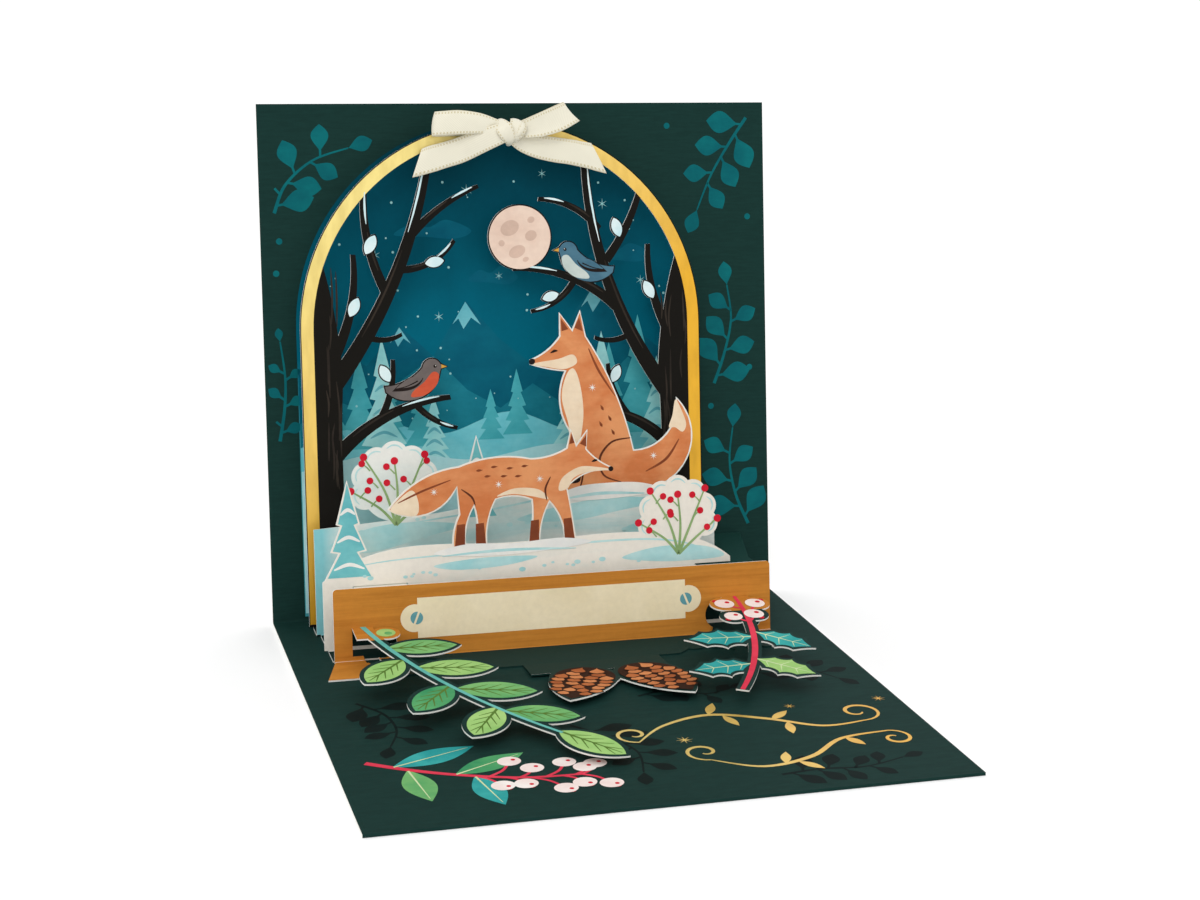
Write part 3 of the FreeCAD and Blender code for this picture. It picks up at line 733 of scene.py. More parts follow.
def sprig_print(art, points, count, length, width, leaf_ink):
    """A printed sprig: a bent stem with pairs of stalked leaves that shorten towards its tip."""
    line = smooth(points, steps=12)
    spread, full = 60, 0.58
    art.add(tapered(line, 0.9, 0.4), leaf_ink)
    last = len(line) - 1
    for i in range(count):
        at = round(last * (0.1 + 0.8 * i / count))
        (u, v), ahead = line[at], line[at + 1]
        heading = degrees(atan2(ahead[1] - v, ahead[0] - u))
        size = 1 - 0.3 * i / count
        for side in (-1, 1):
            step = 0.35 * length * (side > 0)
            root = moved([(step, 0.0)], u, v, heading)[0]
            angle = heading + side * spread
            stalk = moved([(0.0, 0.0), (2.0, 0.0)], *root, angle)
            foot = moved([(1.0, 0.0)], *root, angle)[0]
            art.add(petal(*foot, length * size, width * size, angle, full), leaf_ink)
            art.add(tapered(stalk, 0.6, 0.6), leaf_ink)
    (u0, v0), (u1, v1) = line[-2], line[-1]
    art.add(petal(u1, v1, length * 0.75, width * 0.7, degrees(atan2(v1 - v0, u1 - u0)), full), leaf_ink)


def arch_line(radius, foot):
    """The arch as a line, from its left foot over its round to its right foot."""
    side, round_steps = 12, 56
    line = [(ARCH_CENTRE - radius, foot + (SPRINGING - foot) * i / side) for i in range(side)]
    for i in range(round_steps + 1):
        turn = pi * i / round_steps
        line.append((ARCH_CENTRE - radius * cos(turn), SPRINGING + radius * sin(turn)))
    for i in range(1, side + 1):
        line.append((ARCH_CENTRE + radius, SPRINGING - (SPRINGING - foot) * i / side))
    return line


def panel_print():
    """The night behind the arch, and leaf sprigs on the card round it."""
    art = Art("panel_print", "cover_card", standing(0.0, CARD_TOP), PANEL_LIMITS)
    art.add(arch_line(ARCH_RADIUS, 1.2), "sky")
    edge = ARCH_RADIUS - 0.2
    left, right = ARCH_CENTRE - edge, ARCH_CENTRE + edge

    def range_of(heights, floor):
        step = (right - left) / (len(heights) - 1)
        return [(left, floor)] + [(left + step * i, h) for i, h in enumerate(heights)] + [(right, floor)]

    far = [62, 70, 64, 74, 66, 80, 70, 63, 72, 84, 73, 66, 60]
    near = [50, 56, 52, 60, 66, 57, 52, 58, 52, 56, 64, 56, 50]
    art.add(range_of(far, 30), "far_peak", 1)
    art.add(range_of(near, 28), "near_peak", 2)
    step = (right - left) / (len(far) - 1)
    for i, top, size in ((5, 80, 6.4), (9, 84, 7.0), (3, 74, 4.6)):
        peak = left + step * i
        cap = [(peak, top - 0.4), (peak + size * 0.62, top - size),
               (peak + size * 0.22, top - size * 0.7), (peak - size * 0.1, top - size * 1.15),
               (peak - size * 0.3, top - size * 0.72), (peak - size * 0.55, top - size * 0.95)]
        art.add(cap, "peak_snow", 3)
    hills = smooth([(left, 44), (-40, 50), (-22, 46), (-4, 51), (14, 45), (30, 49), (right, 45)])
    art.add(hills + [(right, 20), (left, 20)], "hill", 4)
    for tree in FAR_FIRS:
        art.add(fir(*tree, 4), "far_fir", 5)
    for tree in NEAR_FIRS:
        art.add(fir(*tree, 5), "mist_fir", 6)
        tier_print(art, tree, 5, 4, 0.3, 0.6, 1.4, (0.2, 0.2, 0.8), "peak_snow", 7)
    lake = smooth([(left, 38), (-36, 42), (-14, 39), (8, 42), (30, 39), (right, 41)])
    art.add(lake + [(right, 2), (left, 2)], "pale_ground", 8)
    for u, v, length in ((-33, 97, 20), (18, 90, 17), (-14, 85, 13)):
        cloud = [(u, v), (u + 0.22 * length, v + 2.6), (u + 0.45 * length, v + 1.8),
                 (u + 0.68 * length, v + 3.6), (u + length, v + 0.8), (u + 0.8 * length, v - 1.2),
                 (u + 0.4 * length, v - 0.6)]
        art.add(blob(*cloud), "far_peak", 1)
    for u, v, radius in (
            (-14, 108, 1.7), (22, 104, 1.5), (-38, 92, 1.5), (-22, 76, 1.4), (14, 72, 1.4),
            (6, 112, 1.3), (32, 84, 1.4), (-6, 86, 1.2)):
        art.add(star(u, v, radius), "star", 3)
    flakes = random.Random(7)
    for _ in range(70):
        u, v = flakes.uniform(left + 3, right - 3), flakes.uniform(50, 118)
        if hypot(u - ARCH_CENTRE, max(0.0, v - SPRINGING)) < ARCH_RADIUS - 4:
            art.add(disc(u, v, flakes.uniform(0.16, 0.34), steps=10), "star", 9)
    for sprig in PANEL_SPRIGS:
        sprig_print(art, *sprig, "teal_leaf")
    for u, v in ((-62, 96), (-63, 88), (40, 124), (62, 100), (51, 50), (62, 60)):
        art.add(disc(u, v, 0.8), "teal_leaf")
    art.finish()


def scroll(u, v, radius, start, turns, side):
    """A curl that winds in from a start angle."""
    count = 26
    line = []
    for i in range(count + 1):
        t = i / count
        angle = radians(start) + side * 2 * pi * turns * t
        reach = radius * (1 - 0.8 * t)
        line.append((u + reach * cos(angle), v + reach * sin(angle)))
    return line


def base_print():
    """Tone on tone leaves, a painted sprig and a foil flourish on the base."""
    art = Art("base_print", "cover_card", on_base, BASE_LIMITS)
    for sprig in BASE_SPRIGS:
        sprig_print(art, *sprig, "tone_leaf")

    stem = smooth([(-60, -95), (-51, -101), (-41, -106), (-29, -110), (-17, -111)], steps=12)
    art.add(tapered(stem, 1.6, 0.8), "coral", 2)
    for u, v, length, width, angle, colour in (
            (-55, -98.6, 21, 7.4, 22, "holly_teal"), (-52, -100.6, 17, 7.0, -84, "leaf_mid"),
            (-43, -105.4, 19, 6.8, 27, "leaf_deep"), (-39, -106.8, 16, 6.6, -80, "holly_teal")):
        art.add(petal(u, v, length, width, angle, 0.5), colour, 1)
        rib = moved([(0.5, 0.0), (length * 0.92, 0.0)], u, v, angle)
        art.add(tapered(rib, 0.5, 0.15), "holly_pale", 3)
    for at, side, reach in (
            (0.52, -1, 8.6), (0.6, 1, 9.0), (0.66, -1, 5.4), (0.72, 1, 5.6), (0.78, -1, 9.0),
            (0.84, 1, 8.6), (0.9, -1, 5.6), (0.95, 1, 4.6), (1.0, -1, 7.4), (1.0, 1, 6.6)):
        u, v = stem[round(at * (len(stem) - 1))]
        end = (u + reach * 0.66, v + side * reach * 0.78)
        art.add(stroke([(u, v), (u + reach * 0.4, v + side * reach * 0.3), end], 0.8, 0.6), "coral", 2)
        art.add(disc(end[0] + 0.6, end[1] + 1.2 * side, 1.2), "red_berry", 3)
        art.add(disc(*end, 2.4, 1.1, 20), "berry", 4)
        art.add(disc(end[0] + 1.0, end[1] + 0.6 * side, 0.5), "red_berry", 5)

    for points in (
            [(0, -97), (8, -89), (20, -85), (32, -90), (43, -97), (54, -96)],
            [(12, -110), (22, -116), (34, -113), (44, -105), (56, -103)]):
        art.add(stroke(points, 0.35, 0.5, 1.25), "base_foil", 1)
    for u, v, radius, start, turns, side in (
            (54, -90.6, 5.4, -90, 1.15, 1), (56, -107.2, 4.2, 90, 1.1, -1),
            (0, -92.6, 4.4, -90, 1.1, -1), (12, -105.4, 4.6, -90, 1.1, -1)):
        art.add(tapered(scroll(u, v, radius, start, turns, side), 0.5, 0.35, 0.95), "base_foil", 1)
    for u, v, angle, length in (
            (20, -85, 64, 7.5), (23, -86, -76, 7.0), (33, -91, 40, 7.0), (36, -93, -100, 7.0),
            (27, -115.6, 70, 6.5), (30, -115, -50, 6.5), (45, -104.4, -60, 6.0)):
        art.add(petal(u, v, length, 2.3, angle, 0.5), "base_foil", 2)
    for u, v, radius in ((10, -98, 2.0), (62, -84, 1.7), (40, -84, 1.5)):
        art.add(star(u, v, radius, 8, 0.2), "base_foil", 1)
    art.finish()


# Each limb: three points of its arc from the middle of the arch's round, and its widths
LEFT_LIMBS = [
    ([(-44.6, -13.7), (-27.6, 14.3), (-18.2, 47.3)], 4.6, 2.0),
    ([(-30.1, 9.3), (-34.6, 22.3), (-35.2, 36.3)], 2.6, 1.6),
    ([(-23.1, 24.3), (-14.4, 31.6), (-6.1, 35.8)], 2.2, 1.0),
    ([(-44.6, -31.7), (-29.6, -20.7), (-14.6, -17.2)], 3.8, 1.3),
    ([(-23.6, -18.7), (-18.1, -23.2), (-13.0, -25.1)], 1.8, 1.0),
    ([(-27.1, 15.3), (-18.6, 17.0), (-12.6, 22.3)], 2.0, 1.0),
]
RIGHT_LIMBS = [
    ([(44.4, -19.7), (29.4, 6.3), (21.8, 45.3)], 4.6, 2.0),
    ([(30.9, 3.3), (17.4, 12.3), (2.4, 14.8)], 3.0, 1.2),
    ([(25.4, 24.3), (17.4, 30.6), (9.4, 32.3)], 2.0, 1.1),
    ([(44.4, -33.7), (30.4, -23.5), (15.4, -23.2)], 3.6, 1.3),
    ([(18.4, 11.3), (12.9, 5.8), (6.9, 3.8)], 1.8, 1.0),
]
SNOW_PADS = [
    (-35.4, 19.0, 6.0, 3.4, 62), (-20.6, 16.6, 5.6, 3.2, 8), (-29.9, -13.0, 5.4, 3.2, 118),
    (-39.8, 3.6, 5.8, 3.3, 64), (31.0, 22.0, 5.8, 3.3, 108), (28.0, -15.4, 5.4, 3.2, 66),
    (39.8, 6.0, 5.8, 3.3, 118), (14.6, 8.2, 5.2, 3.0, 196),
]
MOON_AT, MOON_RADIUS = (4.4, 22.7), 8.4
BIRDS = [(-22.1, -17.7, 1, "bird_breast", "bird_back"), (19.9, 10.9, -1, "bird_pale", "bird_blue")]
BIRD_RUNS = [
    [(-9.2, 2.2)], [(-2.5, -0.2), (4.9, 5.6)], [(5.4, 7.6)], [(7.1, 8.3)], [(5.3, 9.2)],
    [(2.8, 10.7), (0.2, 8.4)], [(-4.2, 5.2), (-9.6, 4.1)],
]


def in_round(points):
    return moved(points, ARCH_CENTRE, SPRINGING)


def bird_print(art, u, v, side, breast, back):
    put = art.stamp(ARCH_CENTRE + u, SPRINGING + v, side=side)
    put(inset(drawn(BIRD_RUNS), 0.3), back, 4)
    put(blob((4.6, 6.4), (4.0, 3.8), (1.2, 1.4), (-2.4, 0.9), (-2.0, 2.4), (0.8, 4.6), (3.0, 7.0)),
        breast, 5)
    put(petal(0.6, 5.6, 8.6, 3.0, 201, 0.4), "dark", 6)
    put(petal(0.5, 5.8, 7.4, 2.2, 200, 0.4), back, 7)
    put(stroke([(-0.8, 4.9), (-3.6, 3.7), (-6.0, 3.2)], 0.35, 0.15), "dark", 8)
    put([(5.35, 7.9), (6.8, 8.3), (5.3, 8.9)], "beak", 6)
    put(disc(3.7, 8.5, 0.42), "dark", 6)
    put(disc(3.84, 8.64, 0.13, steps=10), "white", 7)


def arch_print():
    """Foil border, moon, birds, and snow and bark on the trees."""
    art = Art("arch_print", "arch_card", standing(ARCH_AT))
    art.ring(arch_line(ARCH_RADIUS - 0.25, 0.9), arch_line(ARCH_RADIUS - BORDER, 0.9), "foil", 1)
    u, v = in_round([MOON_AT])[0]
    art.add(disc(u, v, MOON_RADIUS - CUT_MARGIN, steps=56), "moon", 4)
    for du, dv, radius, stretch in (
            (-2.6, 2.4, 1.9, 1.3), (2.9, 0.4, 1.3, 1.2), (-0.8, -3.6, 1.5, 1.5), (3.0, 4.4, 0.8, 1.2),
            (-4.8, -1.4, 0.8, 1.0), (1.4, -5.6, 0.6, 1.4)):
        art.add(disc(u + du, v + dv, radius, stretch, 24), "moon_spot", 5)
    for u, v, length, width, angle in SNOW_PADS:
        pad = in_round(leaf(u, v, length, width, angle))
        art.add(inset(pad, 0.3), "snow_pad", 6)
    for bird in BIRDS:
        bird_print(art, *bird)
    for limbs in (LEFT_LIMBS, RIGHT_LIMBS):
        for points, start, end in limbs:
            line = limb_line(in_round(points))
            lean = 1 if line[-1][0] > line[0][0] else -1
            over = [(a - lean * 0.12 * start, b + 0.2 * (start + end) / 2) for a, b in line]
            art.add(tapered(over[3:9], 0.2, 0.2, 0.55), "bark", 2)
            art.add(tapered(over[9:14], 0.15, 0.2, 0.55), "snow_pad", 3)
    marks = random.Random(11)
    for side, width in ((-1, 7.0), (1, 8.2)):
        inner = ARCH_CENTRE + side * (ARCH_RADIUS - BORDER - width)
        for _ in range(15):
            u = inner + side * marks.uniform(0.9, width - 0.6)
            v = marks.uniform(34, 76)
            length = marks.uniform(5, 14)
            points = [(u, v), (u + marks.uniform(-0.5, 0.5), v + length / 2),
                      (u + marks.uniform(-0.4, 0.4), v + length)]
            art.add(stroke(points, 0.15, 0.1, 0.5), "bark", 2)
    art.finish()


SITTING_FOX = [
    [(-9.0, -2.0)], [(-9.4, 1.2), (-7.6, 2.8)], [(-7.0, 8.5), (-7.8, 14.0)],
    [(-10.2, 22.5), (-8.6, 29.2)], [(-13.0, 29.9), (-17.6, 31.2)], [(-17.7, 32.5)],
    [(-13.2, 34.8), (-9.8, 38.2)], [(-9.7, 44.2)], [(-6.4, 39.8)], [(-4.2, 44.6)], [(-2.8, 38.0)],
    [(4.4, 24.4), (9.4, 8.4)], [(18.0, 12.0), (21.0, 21.5)], [(24.6, 7.4), (12.0, -2.0)],
]
WALKING_FOX = [
    [(-23.5, 8.8), (-13.9, 16.2)], [(-13.4, 8.6)], [(-15.0, 4.5), (-15.4, -1.4)], [(-11.4, -1.4)],
    [(-11.2, 5.0), (-9.0, 10.5)], [(-8.2, 4.6), (-9.0, -1.4)], [(-5.2, -1.4)],
    [(-4.9, 5.8), (-2.5, 12.2)], [(2.7, 12.9), (8.0, 11.6)], [(8.0, 5.0), (6.6, -1.4)], [(10.4, -1.4)],
    [(11.2, 5.4), (13.4, 10.6)], [(16.6, 5.2), (17.4, -1.4)], [(21.2, -1.4)], [(20.2, 6.4), (18.8, 14.6)],
    [(23.5, 17.9), (32.4, 18.7)], [(32.5, 19.9)], [(28.4, 22.2), (24.8, 25.6)], [(25.2, 31.2)],
    [(21.8, 27.0)], [(20.2, 31.6)], [(18.8, 26.2)], [(13.6, 24.2), (8.0, 23.7)],
    [(-3.0, 24.6), (-13.2, 22.4)], [(-25.0, 18.9), (-34.0, 11.0)],
]


def shrub_print(art, u, v, radius, height, seed):
    """Stems and berries on a white shrub, with soft marks at its round edge."""
    dots = random.Random(seed)
    for i in range(7):
        angle = radians(-12 + 34 * i)
        cu, cv = u + radius * 0.92 * cos(angle), v + height * sin(angle)
        ring = [(cu + radius * 0.3 * cos(angle + a), cv + radius * 0.3 * sin(angle + a))
                for a in (-1.0, -0.4, 0.2, 0.8)]
        art.add(stroke(ring, 0.15, 0.12, 0.4), "snow_shade", 2)
    foot = (u, v - height - 1.5)
    for i in range(5):
        tilt = radians(34 + 28 * i)
        reach = radius * (1.25 + 0.35 * (i % 2)) + height * 0.35
        end = (foot[0] + reach * cos(tilt), foot[1] + reach * sin(tilt) * 1.2)
        mid = (foot[0] + 0.42 * reach * cos(tilt) + 0.6, foot[1] + 0.6 * reach * sin(tilt))
        art.add(stroke([foot, mid, end], 0.8, 0.35), "stem_green", 3)
        for t in (0.55, 0.8):
            a = (foot[0] + (end[0] - foot[0]) * t, foot[1] + (end[1] - foot[1]) * t)
            side = dots.choice((-1, 1))
            b = (a[0] + side * radius * 0.24, a[1] + radius * 0.22)
            art.add(stroke([a, ((a[0] + b[0]) / 2, (a[1] + b[1]) / 2 + 0.2), b], 0.4, 0.25),
                    "stem_green", 3)
            art.add(disc(*b, 0.85), "red_berry", 4)
        art.add(disc(*end, 0.95), "red_berry", 4)


def fir_print(art, u, v, height, width, tiers, colour):
    art.add(inset(fir(u, v, height, width, tiers), 0.4), colour, 2)
    tier_print(art, (u, v, height, width), tiers, tiers, 0.35, 0.62, 1.2, (0.3, 0.3, 0.9), "white", 3)


def crest_line(ground, shape):
    half = SCENE_RIGHT - SCENE_MIDDLE
    line = [(SCENE_MIDDLE + share * half, ground + rise) for share, rise in reversed(shape)]
    return smooth([(SCENE_LEFT, ground - SHOULDER)] + line + [(SCENE_RIGHT, ground - SHOULDER)])


def bank_print(art, ground, shape, washes, seed):
    """Wash strokes and drift lines on a snow bank."""
    crest = crest_line(ground, shape)
    under = [(u, v - 1.8) for u, v in crest[6:-6]]
    art.add(tapered(under, 0.1, 0.1, 0.5), "snow_shade", 1)
    for points in washes:
        art.add(blob(*points), "snow_shade", 1)
    flecks = random.Random(seed)
    for _ in range(26):
        u, v = flecks.uniform(SCENE_LEFT + 6, SCENE_RIGHT - 6), flecks.uniform(17, ground - 5)
        art.add(disc(u, v, flecks.uniform(0.25, 0.6), 1.5, 0, 12), "snow_shade", 2)


# Crest of each snow bank: share of the half width, and rise over the ground line
REAR_CREST = [(0.88, -4.5), (0.46, 1.5), (-0.19, -2.5), (-0.84, -6)]
FRONT_CREST = [(0.88, -2.5), (0.57, 1), (-0.15, 0.5), (-0.8, -1)]


def rear_art():
    art = Art("rear_print", "rear_card", standing(REAR_AT))
    bank_print(art, REAR_GROUND, REAR_CREST,
               [[(-54, 22), (-44, 26), (-32, 27), (-20, 25.5), (-30, 23), (-44, 20)],
                [(-6, 26), (6, 29), (20, 30.4), (34, 29), (22, 27), (8, 25)],
                [(22, 22), (34, 25), (44, 24), (40, 19), (28, 18)]], 3)
    shrub_print(art, SCENE_LEFT + 20.6, REAR_GROUND + 3, 8.5, 8.0, 5)
    fir_print(art, SCENE_MIDDLE - 10.6, REAR_GROUND - 6, 21, 11, 3, "near_fir")
    put = art.stamp(SCENE_RIGHT - 30.8, REAR_GROUND + 1)
    put(inset(drawn(SITTING_FOX)), "fox", 5)
    put(blob((-8.2, 28.2), (-9.5, 22.6), (-7.9, 15.6), (-7.2, 9.4), (-5.0, 11.5), (-3.9, 18.4),
             (-4.6, 25.6), (-6.2, 29.8)), "cream", 6)
    put(blob((-17.0, 31.4), (-12.8, 30.4), (-8.6, 29.8), (-5.4, 31.2), (-6.4, 33.4), (-10.4, 32.4)),
        "cream", 7)
    put(blob((20.8, 20.8), (19.9, 16.8), (18.9, 13.8), (20.6, 13.6), (22.6, 12.4), (23.6, 14.4),
             (22.4, 18.0)), "cream", 6)
    put([(-9.2, 39.4), (-9.3, 42.6), (-7.4, 39.9)], "fox_dark", 6)
    put([(-5.8, 40.2), (-4.5, 42.8), (-3.6, 39.2)], "fox_dark", 6)
    put(disc(-17.1, 32.0, 0.75, 1.1, 20), "dark", 8)
    put(blob((-12.3, 34.0), (-11.3, 34.8), (-10.3, 34.5), (-11.3, 34.1)), "dark", 8)
    put(stroke([(8.4, 11.5), (3.4, 10.6), (0.2, 6.6), (1.2, 2.2), (5.8, 0.2)], 0.25, 0.2, 0.6),
        "fox_line", 7)
    put(stroke([(-4.6, 11.6), (-4.0, 6.4), (-4.6, 1.4), (-5.4, -1.2)], 0.2, 0.2, 0.55), "fox_line", 7)
    put(blob((-8.6, 4.6), (-7.2, 5.6), (-5.4, 5.0), (-5.2, 1.0), (-8.6, 0.6), (-9.0, 1.6)), "dark", 6)
    put(stroke([(-2.2, 34.8), (0.4, 29.0), (4.6, 22.4)], 0.2, 0.15, 0.6), "fox_dark", 6)
    put(stroke([(12.4, 2.6), (18.0, 5.6), (21.6, 10.6)], 0.2, 0.2, 0.7), "fox_dark", 6)
    for u, v in ((0.6, 20.4), (2.6, 17.6), (0.2, 16.2), (3.4, 14.0)):
        put(petal(u, v, 1.8, 0.7, -62), "fox_dark", 6)
    for u, v in ((-1.4, 24.8), (14.6, 6.6)):
        put(star(u, v, 1.1, 8, 0.22), "white", 8)
    art.add(blob((4, 31.0), (10, 33.6), (18, 34.2), (27, 33.8), (33, 31.6), (24, 30.4), (12, 30.0)),
            "white", 9)
    art.add(stroke([(6, 30.6), (16, 31.6), (28, 31.0)], 0.2, 0.2, 0.8), "snow_shade", 10)
    art.finish()


def front_art():
    art = Art("front_print", "front_card", standing(FRONT_AT))
    # A dark green patch low on the sheet, behind the band: painted shadow, so the band's cut-outs look
    # dark
    left, right, low, high = -54.0, 44.0, 1.0, 13.0
    art.add([(left, low), (right, low), (right, high), (left, high)], "shadow_patch")
    bank_print(art, FRONT_GROUND, FRONT_CREST,
               [[(18, 18.4), (28, 20.6), (40, 20.0), (45, 17.2), (34, 16.6), (26, 17.0)],
                [(-30, 19.4), (-18, 20.6), (-4, 20.2), (-12, 18.4), (-24, 18.0)]], 4)
    shrub_print(art, SCENE_RIGHT - 13.8, FRONT_GROUND + 4, 8.0, 7.6, 9)
    fir_print(art, SCENE_LEFT + 6.6, FRONT_GROUND - 6, 24, 12, 3, "near_fir")
    put = art.stamp(SCENE_MIDDLE - 6.6, FRONT_GROUND + 0.8, scale=FOX_SCALE)
    put(inset(drawn(WALKING_FOX), 0.42), "fox", 5)
    put(blob((-33.2, 11.0), (-29.0, 9.2), (-25.6, 9.2), (-25.0, 12.2), (-26.2, 15.8), (-28.4, 15.6)),
        "cream", 6)
    put(blob((18.9, 14.4), (20.6, 17.2), (24.6, 18.7), (31.6, 19.2), (27.4, 20.2), (22.4, 20.4),
             (17.4, 17.6), (16.2, 14.0)), "cream", 6)
    put(blob((-2.2, 13.2), (2.8, 13.6), (8.4, 12.6), (13.0, 11.6), (10.0, 14.6), (3.0, 15.2)), "cream", 6)
    for ankle, foot_u in ((-12.9, -13.4), (-7.4, -7.2), (8.9, 8.5), (18.6, 19.2)):
        put([(ankle - 1.2, 5.6), (ankle + 1.2, 5.8), (foot_u + 1.5, -1.0), (foot_u - 1.5, -1.0)],
            "fox_dark", 6)
    put([(24.7, 26.2), (24.8, 29.6), (22.8, 27.2)], "fox_dark", 6)
    put([(21.2, 27.5), (20.4, 30.2), (19.6, 27.2)], "fox_dark", 6)
    put(disc(32.0, 19.4, 0.75), "dark", 8)
    put(blob((26.2, 21.8), (27.2, 22.5), (28.0, 22.1), (27.1, 21.7)), "dark", 8)
    put(stroke([(-12.6, 15.8), (-9.6, 13.4), (-8.6, 10.9)], 0.2, 0.2, 0.6), "fox_line", 7)
    put(stroke([(12.6, 11.2), (12.2, 14.6), (13.8, 18.0)], 0.2, 0.2, 0.6), "fox_line", 7)
    put(stroke([(-31.0, 12.8), (-24.0, 15.8), (-15.6, 18.6)], 0.2, 0.2, 0.6), "fox_dark", 7)
    for u, v in (
            (-6.0, 21.0), (-1.6, 21.8), (3.0, 21.2), (7.4, 21.6), (-3.6, 19.2), (1.2, 19.0), (5.4, 18.8)):
        put(petal(u, v, 2.2, 0.7, 184), "fox_dark", 7)
    for u, v in ((-20.5, 15.4), (10.6, 17.6), (-1.6, 16.6)):
        put(star(u, v, 1.2, 8, 0.22), "white", 8)
    art.add(blob((-30, 22.2), (-22, 24.2), (-10, 23.8), (2, 24.4), (10, 23.0), (0, 21.6), (-16, 21.0)),
            "white", 8)
    art.add(stroke([(-28, 21.6), (-12, 22.2), (6, 21.6)], 0.2, 0.2, 0.7), "snow_shade", 9)
    art.finish()


def label_print():
    """A bare name plate with two slotted heads, painted on the band."""
    art = Art("label_print", "band_card", standing(BAND_AT))
    left, right, low, high = -36.0, 32.0, 4.4, 14.2
    middle = (low + high) / 2
    notch, ear, reach = 1.3, 3.3, 4.2

    def end(u, side):
        points = [(u, low), (u, low + notch)]
        points += arc((u, middle - ear), (u + side * reach, middle), (u, middle + ear), 18)
        return points + [(u, middle + ear), (u, high - notch), (u, high)]
    art.add(end(right, 1) + end(left, -1)[::-1], "label", 1)
    for u, turn in ((left - 0.2, 68), (right + 0.2, 112)):
        art.add(disc(u, middle, 1.55), "label_dot", 2)
        slot = moved([(-1.6, 0.0), (1.6, 0.0)], u, middle, turn)
        art.add(tapered(slot, 0.5, 0.5), "label", 3)
    art.finish()


# Each leaf: its stalk's place from the sprig's root, length, width and direction
LEFT_STEM = [(0.0, 0.0), (11.0, -31.0), (32.5, -64.0)]
LEFT_LEAVES = [
    (3.1, -13.6, 17.0, 7.6, -2), (5.8, -20.5, 14.5, 8.0, -134), (7.9, -25.5, 18.0, 8.4, -8),
    (13.9, -36.0, 15.5, 8.2, -132), (14.5, -38.0, 18.5, 8.4, -14),
    (21.9, -49.0, 15.0, 8.0, -124), (22.5, -51.0, 17.0, 8.0, -20),
    (31.9, -63.0, 17.5, 8.2, -50),
]
LEFT_BERRIES = [(4.9, -4.4, 2.3)]
RIGHT_STEM = [(0.0, 0.0), (-4.5, -28.0), (-15.5, -50.0)]
RIGHT_LEAVES = [
    (-2.5, -23.5, 17.0, 9.0, 176), (-2.0, -21.0, 15.0, 8.4, -44),
    (-8.5, -37.5, 15.0, 8.4, -176), (-7.0, -35.0, 15.5, 8.4, -42),
]
RIGHT_BERRIES = [(-4.0, -4.2, 2.6), (3.8, -5.0, 2.6), (1.4, -11.0, 2.6), (-4.2, -11.6, 2.4)]
CONES = [(-2.0, -6.0, 25.0, 14.0, -116), (8.0, -6.0, 25.0, 14.0, -72)]


def left_sprig_print():
    art = Art("left_sprig_print", "band_card", sprig_plane(LEFT_ROOT_HEIGHT, LEFT_SLOPE))
    greens = ("leaf_mid", "leaf_light", "leaf_light", "leaf_deep", "leaf_mid", "leaf_light", "leaf_mid",
              "leaf_light")
    for (u, v, length, width, angle), green in zip(LEFT_LEAVES, greens):
        at = (LEFT_ROOT + u, v)
        art.add(leaf(*at, length, width, angle, 16), green, 1)
        rib = moved([(0.0, 0.0), (length * 0.5, 0.0), (length * 0.94, 0.0)], *at, angle)
        art.add(tapered(rib, 0.75, 0.2), "vein", 3)
        for i in range(1, 5):
            start = length * (0.12 + 0.17 * i)
            side_reach = width * 0.4 * sin(pi * (start / length * 0.9 + 0.1))
            for side in (-1, 1):
                vein = [(start - 0.12 * length, 0.0), (start + 0.02 * length, side * side_reach * 0.55),
                        (start + 0.1 * length, side * side_reach * 0.86)]
                art.add(stroke(moved(vein, *at, angle), 0.42, 0.14), "vein", 2)
    art.add(tapered(limb_line(moved(LEFT_STEM, LEFT_ROOT)), 1.3, 0.8), "stem_teal", 4)
    for u, v, radius in LEFT_BERRIES:
        art.add(disc(LEFT_ROOT + u, v, radius), "leaf_light", 3)
        art.add(disc(LEFT_ROOT + u + 0.5, v - 0.4, radius * 0.4), "leaf_mid", 4)
    art.finish()


def right_sprig_print():
    art = Art("right_sprig_print", "band_card", sprig_plane(RIGHT_ROOT_HEIGHT, RIGHT_SLOPE))
    for i, (u, v, length, width, angle) in enumerate(RIGHT_LEAVES):
        at = (RIGHT_ROOT + u, v)
        art.add(inset(holly(*at, length, width, angle), 0.1), "leaf_light" if i == 3 else "holly_teal", 1)
        rib = moved([(0.0, 0.0), (length * 0.94, 0.0)], *at, angle)
        art.add(tapered(rib, 0.5, 0.15), "holly_pale", 3)
        for k in (1, 2, 3):
            start = length * (0.24 * k - 0.06)
            reach = width * 0.38 * sin(pi * (k * 0.25))
            for side in (-1, 1):
                vein = moved([(start, 0.0), (start + 0.1 * length, side * reach)], *at, angle)
                art.add(tapered(vein, 0.28, 0.1), "holly_pale", 2)
    stem = limb_line(moved(RIGHT_STEM, RIGHT_ROOT))
    art.add(tapered(stem, 0.9, 1.1, 1.5), "coral", 4)
    for (u, v, radius), joint in zip(RIGHT_BERRIES, (-8.5, -9.5, -14.5, -16.0)):
        at = (RIGHT_ROOT + u, v)
        start = min(stem, key=lambda p: abs(p[1] - joint))
        art.add(stroke([start, ((start[0] + at[0]) / 2, (start[1] + at[1]) / 2 - 0.6), at], 0.8, 0.6),
                "coral", 5)
        out = atan2(v + 8.0, u)
        art.add(disc(at[0] + radius * cos(out), at[1] + radius * sin(out), 0.75), "red_berry", 5)
        art.add(disc(*at, radius - 0.1), "berry", 6)
        art.add(disc(at[0] + radius * 0.35, at[1] + radius * 0.25, radius * 0.24), "red_berry", 7)
    art.finish()


